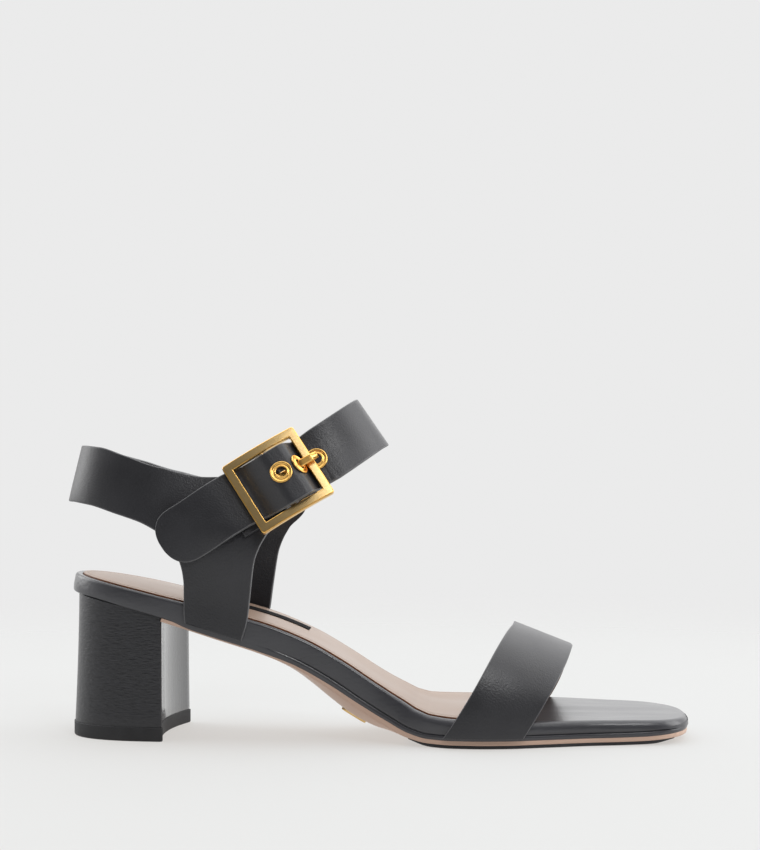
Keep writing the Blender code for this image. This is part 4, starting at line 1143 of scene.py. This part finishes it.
def add_stack(name, levels):
    """Lay a flat grid on the first level and extrude it through the others."""
    rows, columns = levels[0].shape[:2]
    fresh()
    bpy.ops.mesh.primitive_grid_add(
        x_subdivisions=rows - 1, y_subdivisions=columns - 1, size=1.0, location=(0.0, 0.0, 0.0)
    )
    piece = name_piece(name)
    flat = read_points(piece.data) + 0.5
    i = np.rint(flat[:, 0] * (rows - 1)).astype(int)
    j = np.rint(flat[:, 1] * (columns - 1)).astype(int)
    write_numbers(piece.data, "place", i * columns + j)
    write_numbers(piece.data, "level", np.zeros(len(flat)))
    settle(piece, levels[0].reshape(-1, 3), 0)
    for number, level in enumerate(levels[1:], 1):
        extrude_to(piece, level.reshape(-1, 3), number)
    close_up(piece)
    return piece


def add_rings(name, rings, closed):
    """Extrude a circle of vertices through rings of points, then close its ends."""
    fresh()
    bpy.ops.mesh.primitive_circle_add(
        vertices=rings.shape[1], radius=1.0, fill_type="NOTHING", location=(0.0, 0.0, 0.0)
    )
    piece = name_piece(name)
    write_numbers(piece.data, "place", np.arange(rings.shape[1]))
    write_numbers(piece.data, "level", np.zeros(rings.shape[1]))
    settle(piece, rings[0], 0)
    for number, ring in enumerate(rings[1:], 1):
        extrude_to(piece, ring, number)
    last = len(rings) - 1
    for ends in ([(0, last)] if closed else [(0,), (last,)]):
        levels = read_numbers(piece.data, "level")
        bpy.ops.object.mode_set(mode="EDIT")
        bpy.ops.mesh.select_all(action="DESELECT")
        bpy.ops.object.mode_set(mode="OBJECT")
        piece.data.vertices.foreach_set("select", np.isin(levels, ends))
        bpy.ops.object.mode_set(mode="EDIT")
        if closed:
            bpy.ops.mesh.bridge_edge_loops()
        else:
            bpy.ops.mesh.edge_face_add()
        bpy.ops.object.mode_set(mode="OBJECT")
    close_up(piece)
    return piece


def apply_modifier(piece, kind, **values):
    """Give a piece a modifier with these settings and apply it."""
    fresh()
    piece.select_set(True)
    bpy.context.view_layer.objects.active = piece
    bpy.ops.object.modifier_add(type=kind)
    modifier = piece.modifiers[-1]
    for name, value in values.items():
        setattr(modifier, name, value)
    bpy.ops.object.modifier_apply(modifier=modifier.name)


def combine(piece, tool, operation):
    """Join a second shape to a piece or cut it away, and remove that shape."""
    apply_modifier(piece, "BOOLEAN", operation=operation, solver="EXACT", object=tool)
    bpy.data.objects.remove(tool, do_unlink=True)
    close_up(piece)


def round_edges(piece, width, segments=3, angle=math.radians(50.0)):
    """Bevel the sharp edges of a piece."""
    apply_modifier(
        piece, "BEVEL", width=width * MM, segments=segments, limit_method="ANGLE", angle_limit=angle
    )
    bpy.ops.object.shade_smooth_by_angle(angle=angle)


def flatten_faces(piece):
    """Let the wide faces of a piece set the shading of its narrow bevels."""
    apply_modifier(piece, "WEIGHTED_NORMAL", keep_sharp=True)


def paint_rim(piece, first, last, index=1):
    """Give the walls between two levels, or the face on one level, another material."""
    levels = read_numbers(piece.data, "level")
    for face in piece.data.polygons:
        numbers = [levels[v] for v in face.vertices]
        flat = min(numbers) == max(numbers)
        if min(numbers) >= first and max(numbers) <= last and flat == (first == last):
            face.material_index = index


def paint_places(piece, places, index=1):
    """Give the faces whose vertices all lie on some places another material."""
    chosen = np.isin(read_numbers(piece.data, "place"), places)
    for face in piece.data.polygons:
        if all(chosen[v] for v in face.vertices):
            face.material_index = index


def paint_feet(piece, sheet):
    """Give the two ends of a strap, where it meets the sole, its first material."""
    rows, columns = sheet.shape[:2]
    for row in (0, rows - 1):
        paint_places(piece, row * columns + np.arange(columns), 0)


def paint_bore_shade(piece, last):
    """Give the wall that joins the last ring of a piece to its first the second material, a dark finish as
    painted shade in the bore.
    """
    levels = read_numbers(piece.data, "level")
    for face in piece.data.polygons:
        if {int(levels[v]) for v in face.vertices} == {0, last}:
            face.material_index = 1


def dress(piece, slot, *materials):
    """Put the materials on a finished piece and fix it to the shoe."""
    for material in materials:
        piece.data.materials.append(material)
    for name in ("place", "level"):
        found = piece.data.attributes.get(name)
        if found is not None:
            piece.data.attributes.remove(found)
    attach(piece, "root")


def link(tree, source, target):
    """Join an output socket to an input socket."""
    tree.links.new(source, target)


def add_node(tree, kind, **values):
    """Add a node and set its properties, and its inputs by name or number."""
    node = tree.nodes.new(kind)
    for name, value in values.items():
        if name == "inputs":
            for key, number in value.items():
                node.inputs[key].default_value = number
        else:
            setattr(node, name, value)
    return node


def new_group(name, inputs, outputs):
    """Start a shader node group with named float or vector inputs and float outputs."""
    tree = bpy.data.node_groups.new(name, "ShaderNodeTree")
    for label, kind, value in inputs:
        socket = tree.interface.new_socket(label, in_out="INPUT", socket_type=kind)
        socket.default_value = value
    for label in outputs:
        tree.interface.new_socket(label, in_out="OUTPUT", socket_type="NodeSocketFloat")
    start = tree.nodes.new("NodeGroupInput")
    end = tree.nodes.new("NodeGroupOutput")
    return tree, start, end


def leather_grain_group():
    """Pores and soft blotches of leather, at a scale and stretch in the piece's axes."""
    inputs = (
        ("Scale", "NodeSocketFloat", 1300.0),
        ("Blotch", "NodeSocketFloat", 60.0),
        ("Stretch", "NodeSocketVector", (1.0, 1.0, 1.0)),
    )
    tree, start, end = new_group("leather_grain", inputs, ("Height", "Tone"))
    place = add_node(tree, "ShaderNodeTexCoord")
    stretched = add_node(tree, "ShaderNodeVectorMath", operation="MULTIPLY")
    link(tree, place.outputs["Object"], stretched.inputs[0])
    link(tree, start.outputs["Stretch"], stretched.inputs[1])
    pores = add_node(tree, "ShaderNodeTexVoronoi", feature="SMOOTH_F1")
    pores.inputs["Smoothness"].default_value = 0.6
    fine = add_node(tree, "ShaderNodeTexNoise", inputs={"Detail": 3.0, "Roughness": 0.6})
    blotch = add_node(tree, "ShaderNodeTexNoise", inputs={"Detail": 2.0, "Roughness": 0.5})
    for node, scale in ((pores, "Scale"), (fine, "Scale"), (blotch, "Blotch")):
        link(tree, stretched.outputs[0], node.inputs["Vector"])
        link(tree, start.outputs[scale], node.inputs["Scale"])
    both = add_node(tree, "ShaderNodeMath", operation="MULTIPLY_ADD")
    both.inputs[1].default_value = 0.7
    link(tree, pores.outputs["Distance"], both.inputs[0])
    link(tree, fine.outputs["Fac"], both.inputs[2])
    link(tree, both.outputs[0], end.inputs["Height"])
    link(tree, blotch.outputs["Fac"], end.inputs["Tone"])
    return tree


def brushed_group():
    """Fine lines of a satin metal finish, along one axis of the piece."""
    inputs = (("Scale", "NodeSocketFloat", 900.0), ("Turn", "NodeSocketVector", (0.0, 0.0, 0.0)))
    tree, start, end = new_group("brushed_lines", inputs, ("Height", "Tone"))
    place = add_node(tree, "ShaderNodeTexCoord")
    turned = add_node(tree, "ShaderNodeMapping")
    link(tree, place.outputs["Object"], turned.inputs["Vector"])
    link(tree, start.outputs["Turn"], turned.inputs["Rotation"])
    squeezed = add_node(tree, "ShaderNodeVectorMath", operation="MULTIPLY")
    squeezed.inputs[1].default_value = (0.08, 1.0, 1.0)
    link(tree, turned.outputs[0], squeezed.inputs[0])
    lines = add_node(tree, "ShaderNodeTexNoise", inputs={"Detail": 2.0, "Roughness": 0.5})
    link(tree, squeezed.outputs[0], lines.inputs["Vector"])
    link(tree, start.outputs["Scale"], lines.inputs["Scale"])
    link(tree, lines.outputs["Fac"], end.inputs["Height"])
    link(tree, lines.outputs["Fac"], end.inputs["Tone"])
    return tree


def new_material(name, values):
    """Start a material and set the constant inputs of its shader."""
    material = bpy.data.materials.new(name)
    material.use_nodes = True
    shader = material.node_tree.nodes["Principled BSDF"]
    for label, value in values.items():
        shader.inputs[label].default_value = value
    return material, material.node_tree, shader


def shade(colour, share):
    """A colour made lighter or darker by a share."""
    return tuple(min(1.0, c * share) for c in colour[:3]) + (1.0,)


def patterned(name, colour, shares, source, settings, roughness, bump, values):
    """A material whose colour, roughness and bump follow a shared pattern."""
    finish, tree, shader = new_material(name, values)
    group = bpy.data.node_groups.get(source) or PATTERNS[source]()
    base = getattr(bpy.context.scene.sandal_colours, colour)
    pattern = add_node(tree, "ShaderNodeGroup", node_tree=group, inputs=settings)
    tone = add_node(tree, "ShaderNodeMapRange", inputs={"From Min": 0.3, "From Max": 0.7})
    link(tree, pattern.outputs["Tone"], tone.inputs["Value"])
    mix = add_node(tree, "ShaderNodeMix", data_type="RGBA")
    mix.inputs[6].default_value = shade(base, shares[0])
    mix.inputs[7].default_value = shade(base, shares[1])
    link(tree, tone.outputs[0], mix.inputs["Factor"])
    link(tree, mix.outputs[2], shader.inputs["Base Color"])
    rough = add_node(tree, "ShaderNodeMapRange", inputs={"From Min": 0.3, "From Max": 0.7})
    rough.inputs["To Min"].default_value = roughness[0]
    rough.inputs["To Max"].default_value = roughness[1]
    link(tree, pattern.outputs["Tone"], rough.inputs["Value"])
    link(tree, rough.outputs[0], shader.inputs["Roughness"])
    relief = add_node(tree, "ShaderNodeBump")
    relief.inputs["Strength"].default_value = bump[0]
    relief.inputs["Distance"].default_value = bump[1] * MM
    link(tree, pattern.outputs["Height"], relief.inputs["Height"])
    link(tree, relief.outputs[0], shader.inputs["Normal"])
    return finish


def material(name):
    """Return one of the sandal's finishes, made the first time it is asked for."""
    return bpy.data.materials.get(name) or patterned(name, *FINISHES[name])


GRAIN = "leather_grain"
BRUSHED = "brushed_lines"
PATTERNS = {GRAIN: leather_grain_group, BRUSHED: brushed_group}
ALONG_STRAP = (0.0, STRAP_TURN, 0.0)

# Each finish: the colour it starts from with its darkest and lightest share, the pattern
# with its inputs, the range of roughness, the bump's strength and its height in
# millimetres, and the constant inputs of the shader.
FINISHES = {
    "calf": (
        "calf", (0.85, 1.2), GRAIN, {"Scale": 1500.0, "Blotch": 55.0},
        (0.36, 0.44), (0.6, 0.11), {"Specular IOR Level": 0.55},
    ),
    # Footbed calf: glossier, and with a base 1.5 to 1.9 times the calf's as painted light on the footbed's
    # sides.
    "polished_calf": (
        "calf", (1.5, 1.9), GRAIN, {"Scale": 900.0, "Blotch": 70.0, "Stretch": (0.35, 1.0, 1.0)},
        (0.26, 0.36), (0.45, 0.12),
        {"Specular IOR Level": 0.6, "Coat Weight": 0.15, "Coat Roughness": 0.2},
    ),
    "heel_cover": (
        "calf", (0.7, 1.2), GRAIN, {"Scale": 1500.0, "Blotch": 1400.0, "Stretch": (0.3, 0.3, 1.0)},
        (0.30, 0.42), (0.6, 0.16), {"Specular IOR Level": 0.5},
    ),
    "heel_breast": (
        "calf", (0.8, 1.3), GRAIN, {"Scale": 700.0, "Blotch": 420.0, "Stretch": (1.0, 1.0, 0.05)},
        (0.18, 0.30), (0.25, 0.12),
        {"Specular IOR Level": 0.6, "Coat Weight": 1.0, "Coat Roughness": 0.1},
    ),
    # Cut edges: lighter than the calf, partly for their edge paint and partly as a painted highlight on the
    # rounded edge.
    "cut_edge": (
        "cut_edge", (0.85, 1.15), GRAIN, {"Scale": 2400.0, "Blotch": 300.0},
        (0.42, 0.55), (0.2, 0.06), {"Specular IOR Level": 0.5},
    ),
    "sock": (
        "sock", (0.94, 1.04), GRAIN, {"Scale": 1500.0, "Blotch": 40.0, "Stretch": (0.5, 1.0, 1.0)},
        (0.34, 0.46), (0.3, 0.1), {"Specular IOR Level": 0.5},
    ),
    "raw_edge": (
        "raw_edge", (0.7, 1.3), GRAIN, {"Scale": 1800.0, "Blotch": 500.0},
        (0.5, 0.7), (0.3, 0.1), {"Specular IOR Level": 0.3},
    ),
    "tan": (
        "tan", (0.9, 1.08), GRAIN, {"Scale": 800.0, "Blotch": 35.0, "Stretch": (0.4, 1.0, 1.0)},
        (0.36, 0.48), (0.15, 0.1), {"Specular IOR Level": 0.45},
    ),
    # Rubber also darkens the eyelets' bores, as painted shade.
    "rubber": (
        "rubber", (0.85, 1.2), GRAIN, {"Scale": 2200.0, "Blotch": 120.0},
        (0.54, 0.66), (0.4, 0.1), {"Specular IOR Level": 0.25},
    ),
    "label": (
        "rubber", (0.2, 0.35), GRAIN, {"Scale": 2600.0, "Blotch": 400.0, "Stretch": (1.0, 0.3, 1.0)},
        (0.7, 0.85), (0.4, 0.1), {"Specular IOR Level": 0.03},
    ),
    "gold": (
        "gold", (0.96, 1.02), BRUSHED, {"Scale": 260.0, "Turn": ALONG_STRAP},
        (0.282, 0.29), (0.01, 0.005), {"Metallic": 1.0},
    ),
    "gold_polish": (
        "gold_polish", (0.94, 1.04), BRUSHED, {"Scale": 600.0, "Turn": ALONG_STRAP},
        (0.278, 0.286), (0.01, 0.01), {"Metallic": 1.0},
    ),
}


def number_property(name, description, default, unit="NONE"):
    """A number that the user can change."""
    return FloatProperty(name=name, description=description, default=default, unit=unit, precision=5)


def colour_property(name, description, default):
    """A colour that the user can change."""
    return FloatVectorProperty(
        name=name, description=description, subtype="COLOR", size=4, min=0.0, max=1.0, default=default
    )


class SandalSizes(bpy.types.PropertyGroup):
    """Small sizes of the leather work."""

    edge_round: number_property("Edge rounding", "Radius of the straps' cut edges", 0.4 * MM, "LENGTH")
    toe_ripple: number_property("Toe puckers", "Height of the toe's puckers", 0.09 * MM, "LENGTH")
    strap_crease: number_property("Strap creases", "Depth of the deepest crease", 0.12 * MM, "LENGTH")


class SandalColours(bpy.types.PropertyGroup):
    """Base colours of the finishes."""

    calf: colour_property("Calf", "Black leather of straps, footbed and heel", (0.0235, 0.0235, 0.027, 1.0))
    # Cut edges: edge paint, lightened partly as a painted highlight on the rounded edge.
    cut_edge: colour_property("Cut edges", "Paint on the straps' cut edges", (0.10, 0.10, 0.105, 1.0))
    sock: colour_property("Sock", "Lining under the foot", (0.285, 0.20, 0.15, 1.0))
    raw_edge: colour_property("Raw edge", "Side of the sock", (0.15, 0.055, 0.02, 1.0))
    tan: colour_property("Sole", "Tan sole leather", (0.58, 0.40, 0.31, 1.0))
    # The rubber colour also darkens the eyelets' bores, as painted shade.
    rubber: colour_property("Rubber", "Tread and heel tip", (0.032, 0.032, 0.034, 1.0))
    gold: colour_property("Gold", "Faces of the buckle and the plate", (0.86, 0.60, 0.27, 1.0))
    gold_polish: colour_property("Polished gold", "Edges, prong and eyelets", (0.90, 0.53, 0.15, 1.0))


class StageSettings(bpy.types.PropertyGroup):
    """Backdrop and light of the studio."""

    backdrop: colour_property("Backdrop", "Floor and background", (0.83, 0.83, 0.83, 1.0))
    sky: number_property("Surroundings", "Strength of the pale surroundings", 1.0)
    front_shade: number_property("Front shade", "Share of light from the viewer's side", 0.08)
    back_glow: number_property("Back glow", "Share of light from behind the shoe", 1.2)
    top_power: number_property("Top light", "Power of the overhead light", 9.0, "POWER")
    side_power: number_property("Side light", "Power of the light ahead of the toe", 4.5, "POWER")
    back_power: number_property("Back light", "Power of the light behind the heel", 3.0, "POWER")
    rear_power: number_property("Rear light", "Power of the light beyond the shoe", 0.9, "POWER")
    front_power: number_property("Front light", "Power of the soft light at the front", 2.4, "POWER")


class SANDAL_OT_footbed(bpy.types.Operator):
    """Model the padded footbed wrapped in black calf"""

    bl_idname = "sandal.footbed"
    bl_label = "Footbed"

    def execute(self, context):
        piece = add_stack("footbed_leather", footbed_levels(context.scene.sandal_sizes.toe_ripple / MM))
        # The footbed's calf is lighter than the straps' calf: painted light on its sides.
        dress(piece, "black_leather", material("polished_calf"))
        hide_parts("footbed")
        return {"FINISHED"}


class SANDAL_OT_insole(bpy.types.Operator):
    """Model the sock and the plain patch on it"""

    bl_idname = "sandal.insole"
    bl_label = "Insole"

    def execute(self, context):
        levels = insole_levels()
        piece = add_stack("insole_sock", levels)
        paint_rim(piece, 0, 3)
        dress(piece, "sock_leather", material("sock"), material("raw_edge"))
        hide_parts("insole")
        patch = add_stack("insole_patch", wall_levels(label_sheet(), 0.0, LABEL_THICK, LABEL_THICK / 2.5))
        dress(patch, "black_leather", material("label"))
        return {"FINISHED"}


class SANDAL_OT_outsole(bpy.types.Operator):
    """Model the tan sole and its rubber half sole"""

    bl_idname = "sandal.outsole"
    bl_label = "Outsole"

    def execute(self, context):
        sole = add_stack("outsole_leather", outsole_levels())
        dress(sole, "tan_sole", material("tan"))
        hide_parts("outsole")
        tread = add_stack("forefoot_rubber", tread_levels())
        dress(tread, "black_rubber", material("rubber"))
        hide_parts("forefoot_tread")
        return {"FINISHED"}


class SANDAL_OT_heel(bpy.types.Operator):
    """Model the covered block and its rubber top piece"""

    bl_idname = "sandal.heel"
    bl_label = "Heel"

    def execute(self, context):
        levels = heel_levels()
        block = add_stack("heel_block", levels)
        rows, columns = levels[0].shape[:2]
        paint_places(block, (rows - 1) * columns + np.arange(columns))
        dress(block, "heel_leather", material("heel_cover"), material("heel_breast"))
        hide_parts("heel")
        tip = add_stack("heel_rubber", heel_tip_levels())
        dress(tip, "black_rubber", material("rubber"))
        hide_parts("heel_tip")
        return {"FINISHED"}


class SANDAL_OT_toe_strap(bpy.types.Operator):
    """Model the band over the toes with its beige lining"""

    bl_idname = "sandal.toe_strap"
    bl_label = "Toe strap"

    def execute(self, context):
        edge = context.scene.sandal_sizes.edge_round / MM
        levels = wall_levels(toe_strap_sheet(), 0.0, -STRAP_WALL, edge)
        piece = add_stack("toe_band", levels)
        last = len(levels) - 1
        paint_rim(piece, 0, last)
        paint_feet(piece, levels[0])
        paint_rim(piece, 0, last // 2, 2)
        paint_rim(piece, 0, 0, 2)
        dress(piece, "black_leather", material("calf"), material("cut_edge"), material("sock"))
        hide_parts("toe_strap")
        return {"FINISHED"}


class SANDAL_OT_quarter(bpy.types.Operator):
    """Model the posts and the strap round the back of the heel"""

    bl_idname = "sandal.quarter"
    bl_label = "Quarter"

    def execute(self, context):
        edge = context.scene.sandal_sizes.edge_round / MM
        levels = wall_levels(quarter_sheet(), 0.0, WALL, edge)
        piece = add_stack("quarter_leather", levels)
        paint_rim(piece, 0, len(levels) - 1)
        paint_feet(piece, levels[0])
        dress(piece, "black_leather", material("calf"), material("cut_edge"))
        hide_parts("quarter")
        return {"FINISHED"}


class SANDAL_OT_ankle_strap(bpy.types.Operator):
    """Model the ankle strap with its three punched holes"""

    bl_idname = "sandal.ankle_strap"
    bl_label = "Ankle strap"

    def execute(self, context):
        sizes = context.scene.sandal_sizes
        sheet = strap_sheet(sizes.strap_crease / MM)
        levels = wall_levels(sheet, -WALL / 2.0, WALL / 2.0, sizes.edge_round / MM)
        piece = add_stack("ankle_band", levels)
        paint_rim(piece, 0, len(levels) - 1)
        for p, d, slope in eyelet_places():
            rings = turned_rings([(EYELET_HOLE, -2.4), (EYELET_HOLE, 2.4)], p, d, slope)
            combine(piece, add_rings("punch", rings, False), "DIFFERENCE")
        dress(piece, "black_leather", material("calf"), material("cut_edge"))
        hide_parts("ankle_strap")
        return {"FINISHED"}


class SANDAL_OT_buckle(bpy.types.Operator):
    """Model the leather loop, the square frame and the prong"""

    bl_idname = "sandal.buckle"
    bl_label = "Buckle"

    def execute(self, context):
        loop = add_rings("loop_leather", prism_rings(loop_outline(), LOOP_HALF), False)
        rear, front = LOOP_SLOT_P
        low, high = LOOP_SLOT_D
        box = [(rear, low), (front, low), (front, high), (rear, high)]
        round_edges(loop, 0.3)
        combine(loop, add_rings("slot", prism_rings(box, LOOP_SLOT), False), "DIFFERENCE")
        bore = bar_circle(BAR_RADIUS + GAP)
        combine(loop, add_rings("bore", prism_rings(bore, LOOP_HALF + 1.0), False), "DIFFERENCE")
        dress(loop, "black_leather", material("calf"))
        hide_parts("buckle_loop")
        square = add_rings("buckle_square", frame_rings(), True)
        paint_rim(square, 1, 4)
        paint_rim(square, 5, 8)
        bar = bar_circle(BAR_RADIUS)
        combine(square, add_rings("bar", prism_rings(bar, FRAME_INNER + BAR_SUNK), False), "UNION")
        flatten_faces(square)
        dress(square, "gold_metal", material("gold"), material("gold_polish"))
        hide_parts("buckle_frame")
        finger = add_rings("prong_finger", prong_rings(), False)
        eye = bar_circle(PRONG_RING)
        combine(finger, add_rings("eye", prism_rings(eye, PRONG_HALF), False), "UNION")
        bore = bar_circle(BAR_RADIUS + GAP / 2.0)
        combine(finger, add_rings("bore", prism_rings(bore, PRONG_HALF + 1.0), False), "DIFFERENCE")
        dress(finger, "gold_metal", material("gold_polish"))
        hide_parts("buckle_prong")
        return {"FINISHED"}


class SANDAL_OT_eyelets(bpy.types.Operator):
    """Model the three dished eyelets of the ankle strap"""

    bl_idname = "sandal.eyelets"
    bl_label = "Eyelets"

    def execute(self, context):
        face = WALL / 2.0 + 0.02
        profile = [(r, face + h) for r, h in zip(*EYELET_PROFILE.values())]
        for number, (p, d, slope) in enumerate(eyelet_places(), 1):
            piece = add_rings("eyelet_ring_%d" % number, turned_rings(profile, p, d, slope), True)
            # The bore wall of each eyelet gets the dark rubber finish: painted shade inside the hole, where
            # the metal is gold.
            paint_bore_shade(piece, len(profile) - 1)
            dress(piece, "gold_metal", material("gold_polish"), material("rubber"))
            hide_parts("eyelet_%d" % number)
        return {"FINISHED"}


class SANDAL_OT_sole_plate(bpy.types.Operator):
    """Model the small blank plate under the waist"""

    bl_idname = "sandal.sole_plate"
    bl_label = "Sole plate"

    def execute(self, context):
        piece = add_stack("plate_blank", plate_levels())
        dress(piece, "gold_metal", material("gold"))
        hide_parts("sole_plate")
        return {"FINISHED"}


class SANDAL_OT_stage(bpy.types.Operator):
    """Set the pale floor, the soft surroundings, the lights and the camera"""

    bl_idname = "sandal.stage"
    bl_label = "Stage"

    def execute(self, context):
        settings = context.scene.sandal_stage
        make_surroundings(context.scene, settings)
        make_floor()
        for name, (place, target, size) in LIGHTS.items():
            power = getattr(settings, name + "_power")
            add_area_light(name + "_light", place, target, size, power)
        fresh()
        bpy.ops.object.camera_add(
            location=row_frame(CAMERA_AT), rotation=(math.pi / 2.0, 0.0, CAMERA_TURN)
        )
        camera = bpy.context.active_object
        camera.name = "camera"
        camera.data.lens = CAMERA_LENS
        camera.data.sensor_width = 36.0
        camera.data.clip_start = 0.01
        context.scene.camera = camera
        context.scene.view_settings.view_transform = "Standard"
        context.scene.view_settings.look = "None"
        return {"FINISHED"}


def make_surroundings(scene, settings):
    """Pale room: bright behind and below the shoe, darker towards the viewer."""
    world = bpy.data.worlds.new("studio")
    world.use_nodes = True
    scene.world = world
    tree = world.node_tree
    room = tree.nodes["Background"]
    place = add_node(tree, "ShaderNodeTexCoord")
    parts = add_node(tree, "ShaderNodeSeparateXYZ")
    link(tree, place.outputs["Generated"], parts.inputs[0])
    lift = add_node(tree, "ShaderNodeMath", operation="MULTIPLY_ADD")
    lift.inputs[1].default_value = ROOM_HEIGHT_WEIGHT
    link(tree, parts.outputs["Z"], lift.inputs[0])
    link(tree, parts.outputs["Y"], lift.inputs[2])
    fade = add_node(tree, "ShaderNodeMapRange", interpolation_type="SMOOTHSTEP")
    fade.inputs["From Min"].default_value = -ROOM_FADE
    fade.inputs["From Max"].default_value = ROOM_FADE
    fade.inputs["To Min"].default_value = settings.front_shade
    fade.inputs["To Max"].default_value = settings.back_glow
    link(tree, lift.outputs[0], fade.inputs["Value"])
    below = add_node(tree, "ShaderNodeMath", operation="LESS_THAN", inputs={1: 0.0})
    link(tree, parts.outputs["Z"], below.inputs[0])
    strength = add_node(tree, "ShaderNodeMath", operation="MAXIMUM")
    link(tree, fade.outputs[0], strength.inputs[0])
    link(tree, below.outputs[0], strength.inputs[1])
    link(tree, strength.outputs[0], room.inputs["Strength"])
    room.inputs["Color"].default_value = shade(settings.backdrop, settings.sky)
    seen = add_node(tree, "ShaderNodeBackground")
    seen.inputs["Color"].default_value = settings.backdrop
    path = add_node(tree, "ShaderNodeLightPath")
    mix = add_node(tree, "ShaderNodeMixShader")
    link(tree, path.outputs["Is Camera Ray"], mix.inputs[0])
    link(tree, room.outputs[0], mix.inputs[1])
    link(tree, seen.outputs[0], mix.inputs[2])
    link(tree, mix.outputs[0], tree.nodes["World Output"].inputs["Surface"])


def make_floor():
    """A pale floor that melts into the background away from the shoe."""
    fresh()
    bpy.ops.mesh.primitive_circle_add(
        vertices=96, radius=FLOOR_HALF, fill_type="NGON", location=(0.0, 0.0, 0.0)
    )
    floor = name_piece("floor")
    bpy.ops.object.mode_set(mode="EDIT")
    bpy.ops.mesh.select_all(action="SELECT")
    bpy.ops.mesh.inset(thickness=FLOOR_INSET)
    bpy.ops.object.mode_set(mode="OBJECT")
    values = {"Roughness": 0.9, "Specular IOR Level": 0.1, "Emission Strength": 1.0}
    pale, tree, shader = new_material("floor_paint", values)
    shader.inputs["Base Color"].default_value = FLOOR_ALBEDO
    shader.inputs["Emission Color"].default_value = FLOOR_GLOW
    place = add_node(tree, "ShaderNodeTexCoord")
    reach = add_node(tree, "ShaderNodeVectorMath", operation="LENGTH")
    link(tree, place.outputs["Object"], reach.inputs[0])
    fade = add_node(tree, "ShaderNodeMapRange", interpolation_type="SMOOTHSTEP")
    fade.inputs["From Min"].default_value = FLOOR_CLEAR[0]
    fade.inputs["From Max"].default_value = FLOOR_CLEAR[1]
    link(tree, reach.outputs["Value"], fade.inputs["Value"])
    clear = add_node(tree, "ShaderNodeBsdfTransparent")
    mix = add_node(tree, "ShaderNodeMixShader")
    link(tree, fade.outputs[0], mix.inputs[0])
    link(tree, shader.outputs[0], mix.inputs[1])
    link(tree, clear.outputs[0], mix.inputs[2])
    link(tree, mix.outputs[0], tree.nodes["Material Output"].inputs["Surface"])
    floor.data.materials.append(pale)


def add_area_light(name, place, target, size, power):
    """A square soft light that faces a target."""
    fresh()
    away = np.array(place) - np.array(target)
    turn = math.atan2(away[1], away[0]) + math.pi / 2.0
    tilt = math.atan2(math.hypot(away[0], away[1]), away[2])
    bpy.ops.object.light_add(type="AREA", location=place, rotation=(tilt, 0.0, turn))
    light = bpy.context.active_object
    light.name = name
    light.data.shape = "SQUARE"
    light.data.size = size
    light.data.energy = power


class SANDAL_PT_panel(bpy.types.Panel):
    """Sizes, colours and steps of the sandal"""

    bl_idname = "SANDAL_PT_panel"
    bl_label = "Block-heeled sandal"
    bl_space_type = "VIEW_3D"
    bl_region_type = "UI"
    bl_category = "Sandal"

    def draw(self, context):
        layout = self.layout
        for group in GROUPS:
            settings = getattr(context.scene, group)
            box = layout.box()
            for name in settings.__annotations__:
                box.prop(settings, name)
        for step in STEPS:
            layout.operator(step.bl_idname)


GROUPS = {"sandal_sizes": SandalSizes, "sandal_colours": SandalColours, "sandal_stage": StageSettings}
STEPS = (
    SANDAL_OT_footbed,
    SANDAL_OT_insole,
    SANDAL_OT_outsole,
    SANDAL_OT_heel,
    SANDAL_OT_toe_strap,
    SANDAL_OT_quarter,
    SANDAL_OT_ankle_strap,
    SANDAL_OT_buckle,
    SANDAL_OT_eyelets,
    SANDAL_OT_sole_plate,
    SANDAL_OT_stage,
)


def register():
    """Register the settings, the steps and the panel."""
    for name, kind in GROUPS.items():
        bpy.utils.register_class(kind)
        setattr(bpy.types.Scene, name, PointerProperty(type=kind))
    for kind in STEPS + (SANDAL_PT_panel,):
        bpy.utils.register_class(kind)


def unregister():
    """Take back what register has added."""
    for kind in (SANDAL_PT_panel,) + STEPS[::-1]:
        bpy.utils.unregister_class(kind)
    for name, kind in GROUPS.items():
        delattr(bpy.types.Scene, name)
        bpy.utils.unregister_class(kind)


def main():
    """Run every step in order."""
    register()
    bpy.ops.sandal.footbed()
    bpy.ops.sandal.insole()
    bpy.ops.sandal.outsole()
    bpy.ops.sandal.heel()
    bpy.ops.sandal.toe_strap()
    bpy.ops.sandal.quarter()
    bpy.ops.sandal.ankle_strap()
    bpy.ops.sandal.buckle()
    bpy.ops.sandal.eyelets()
    bpy.ops.sandal.sole_plate()
    bpy.ops.sandal.stage()


if __name__ == "__main__":
    main()
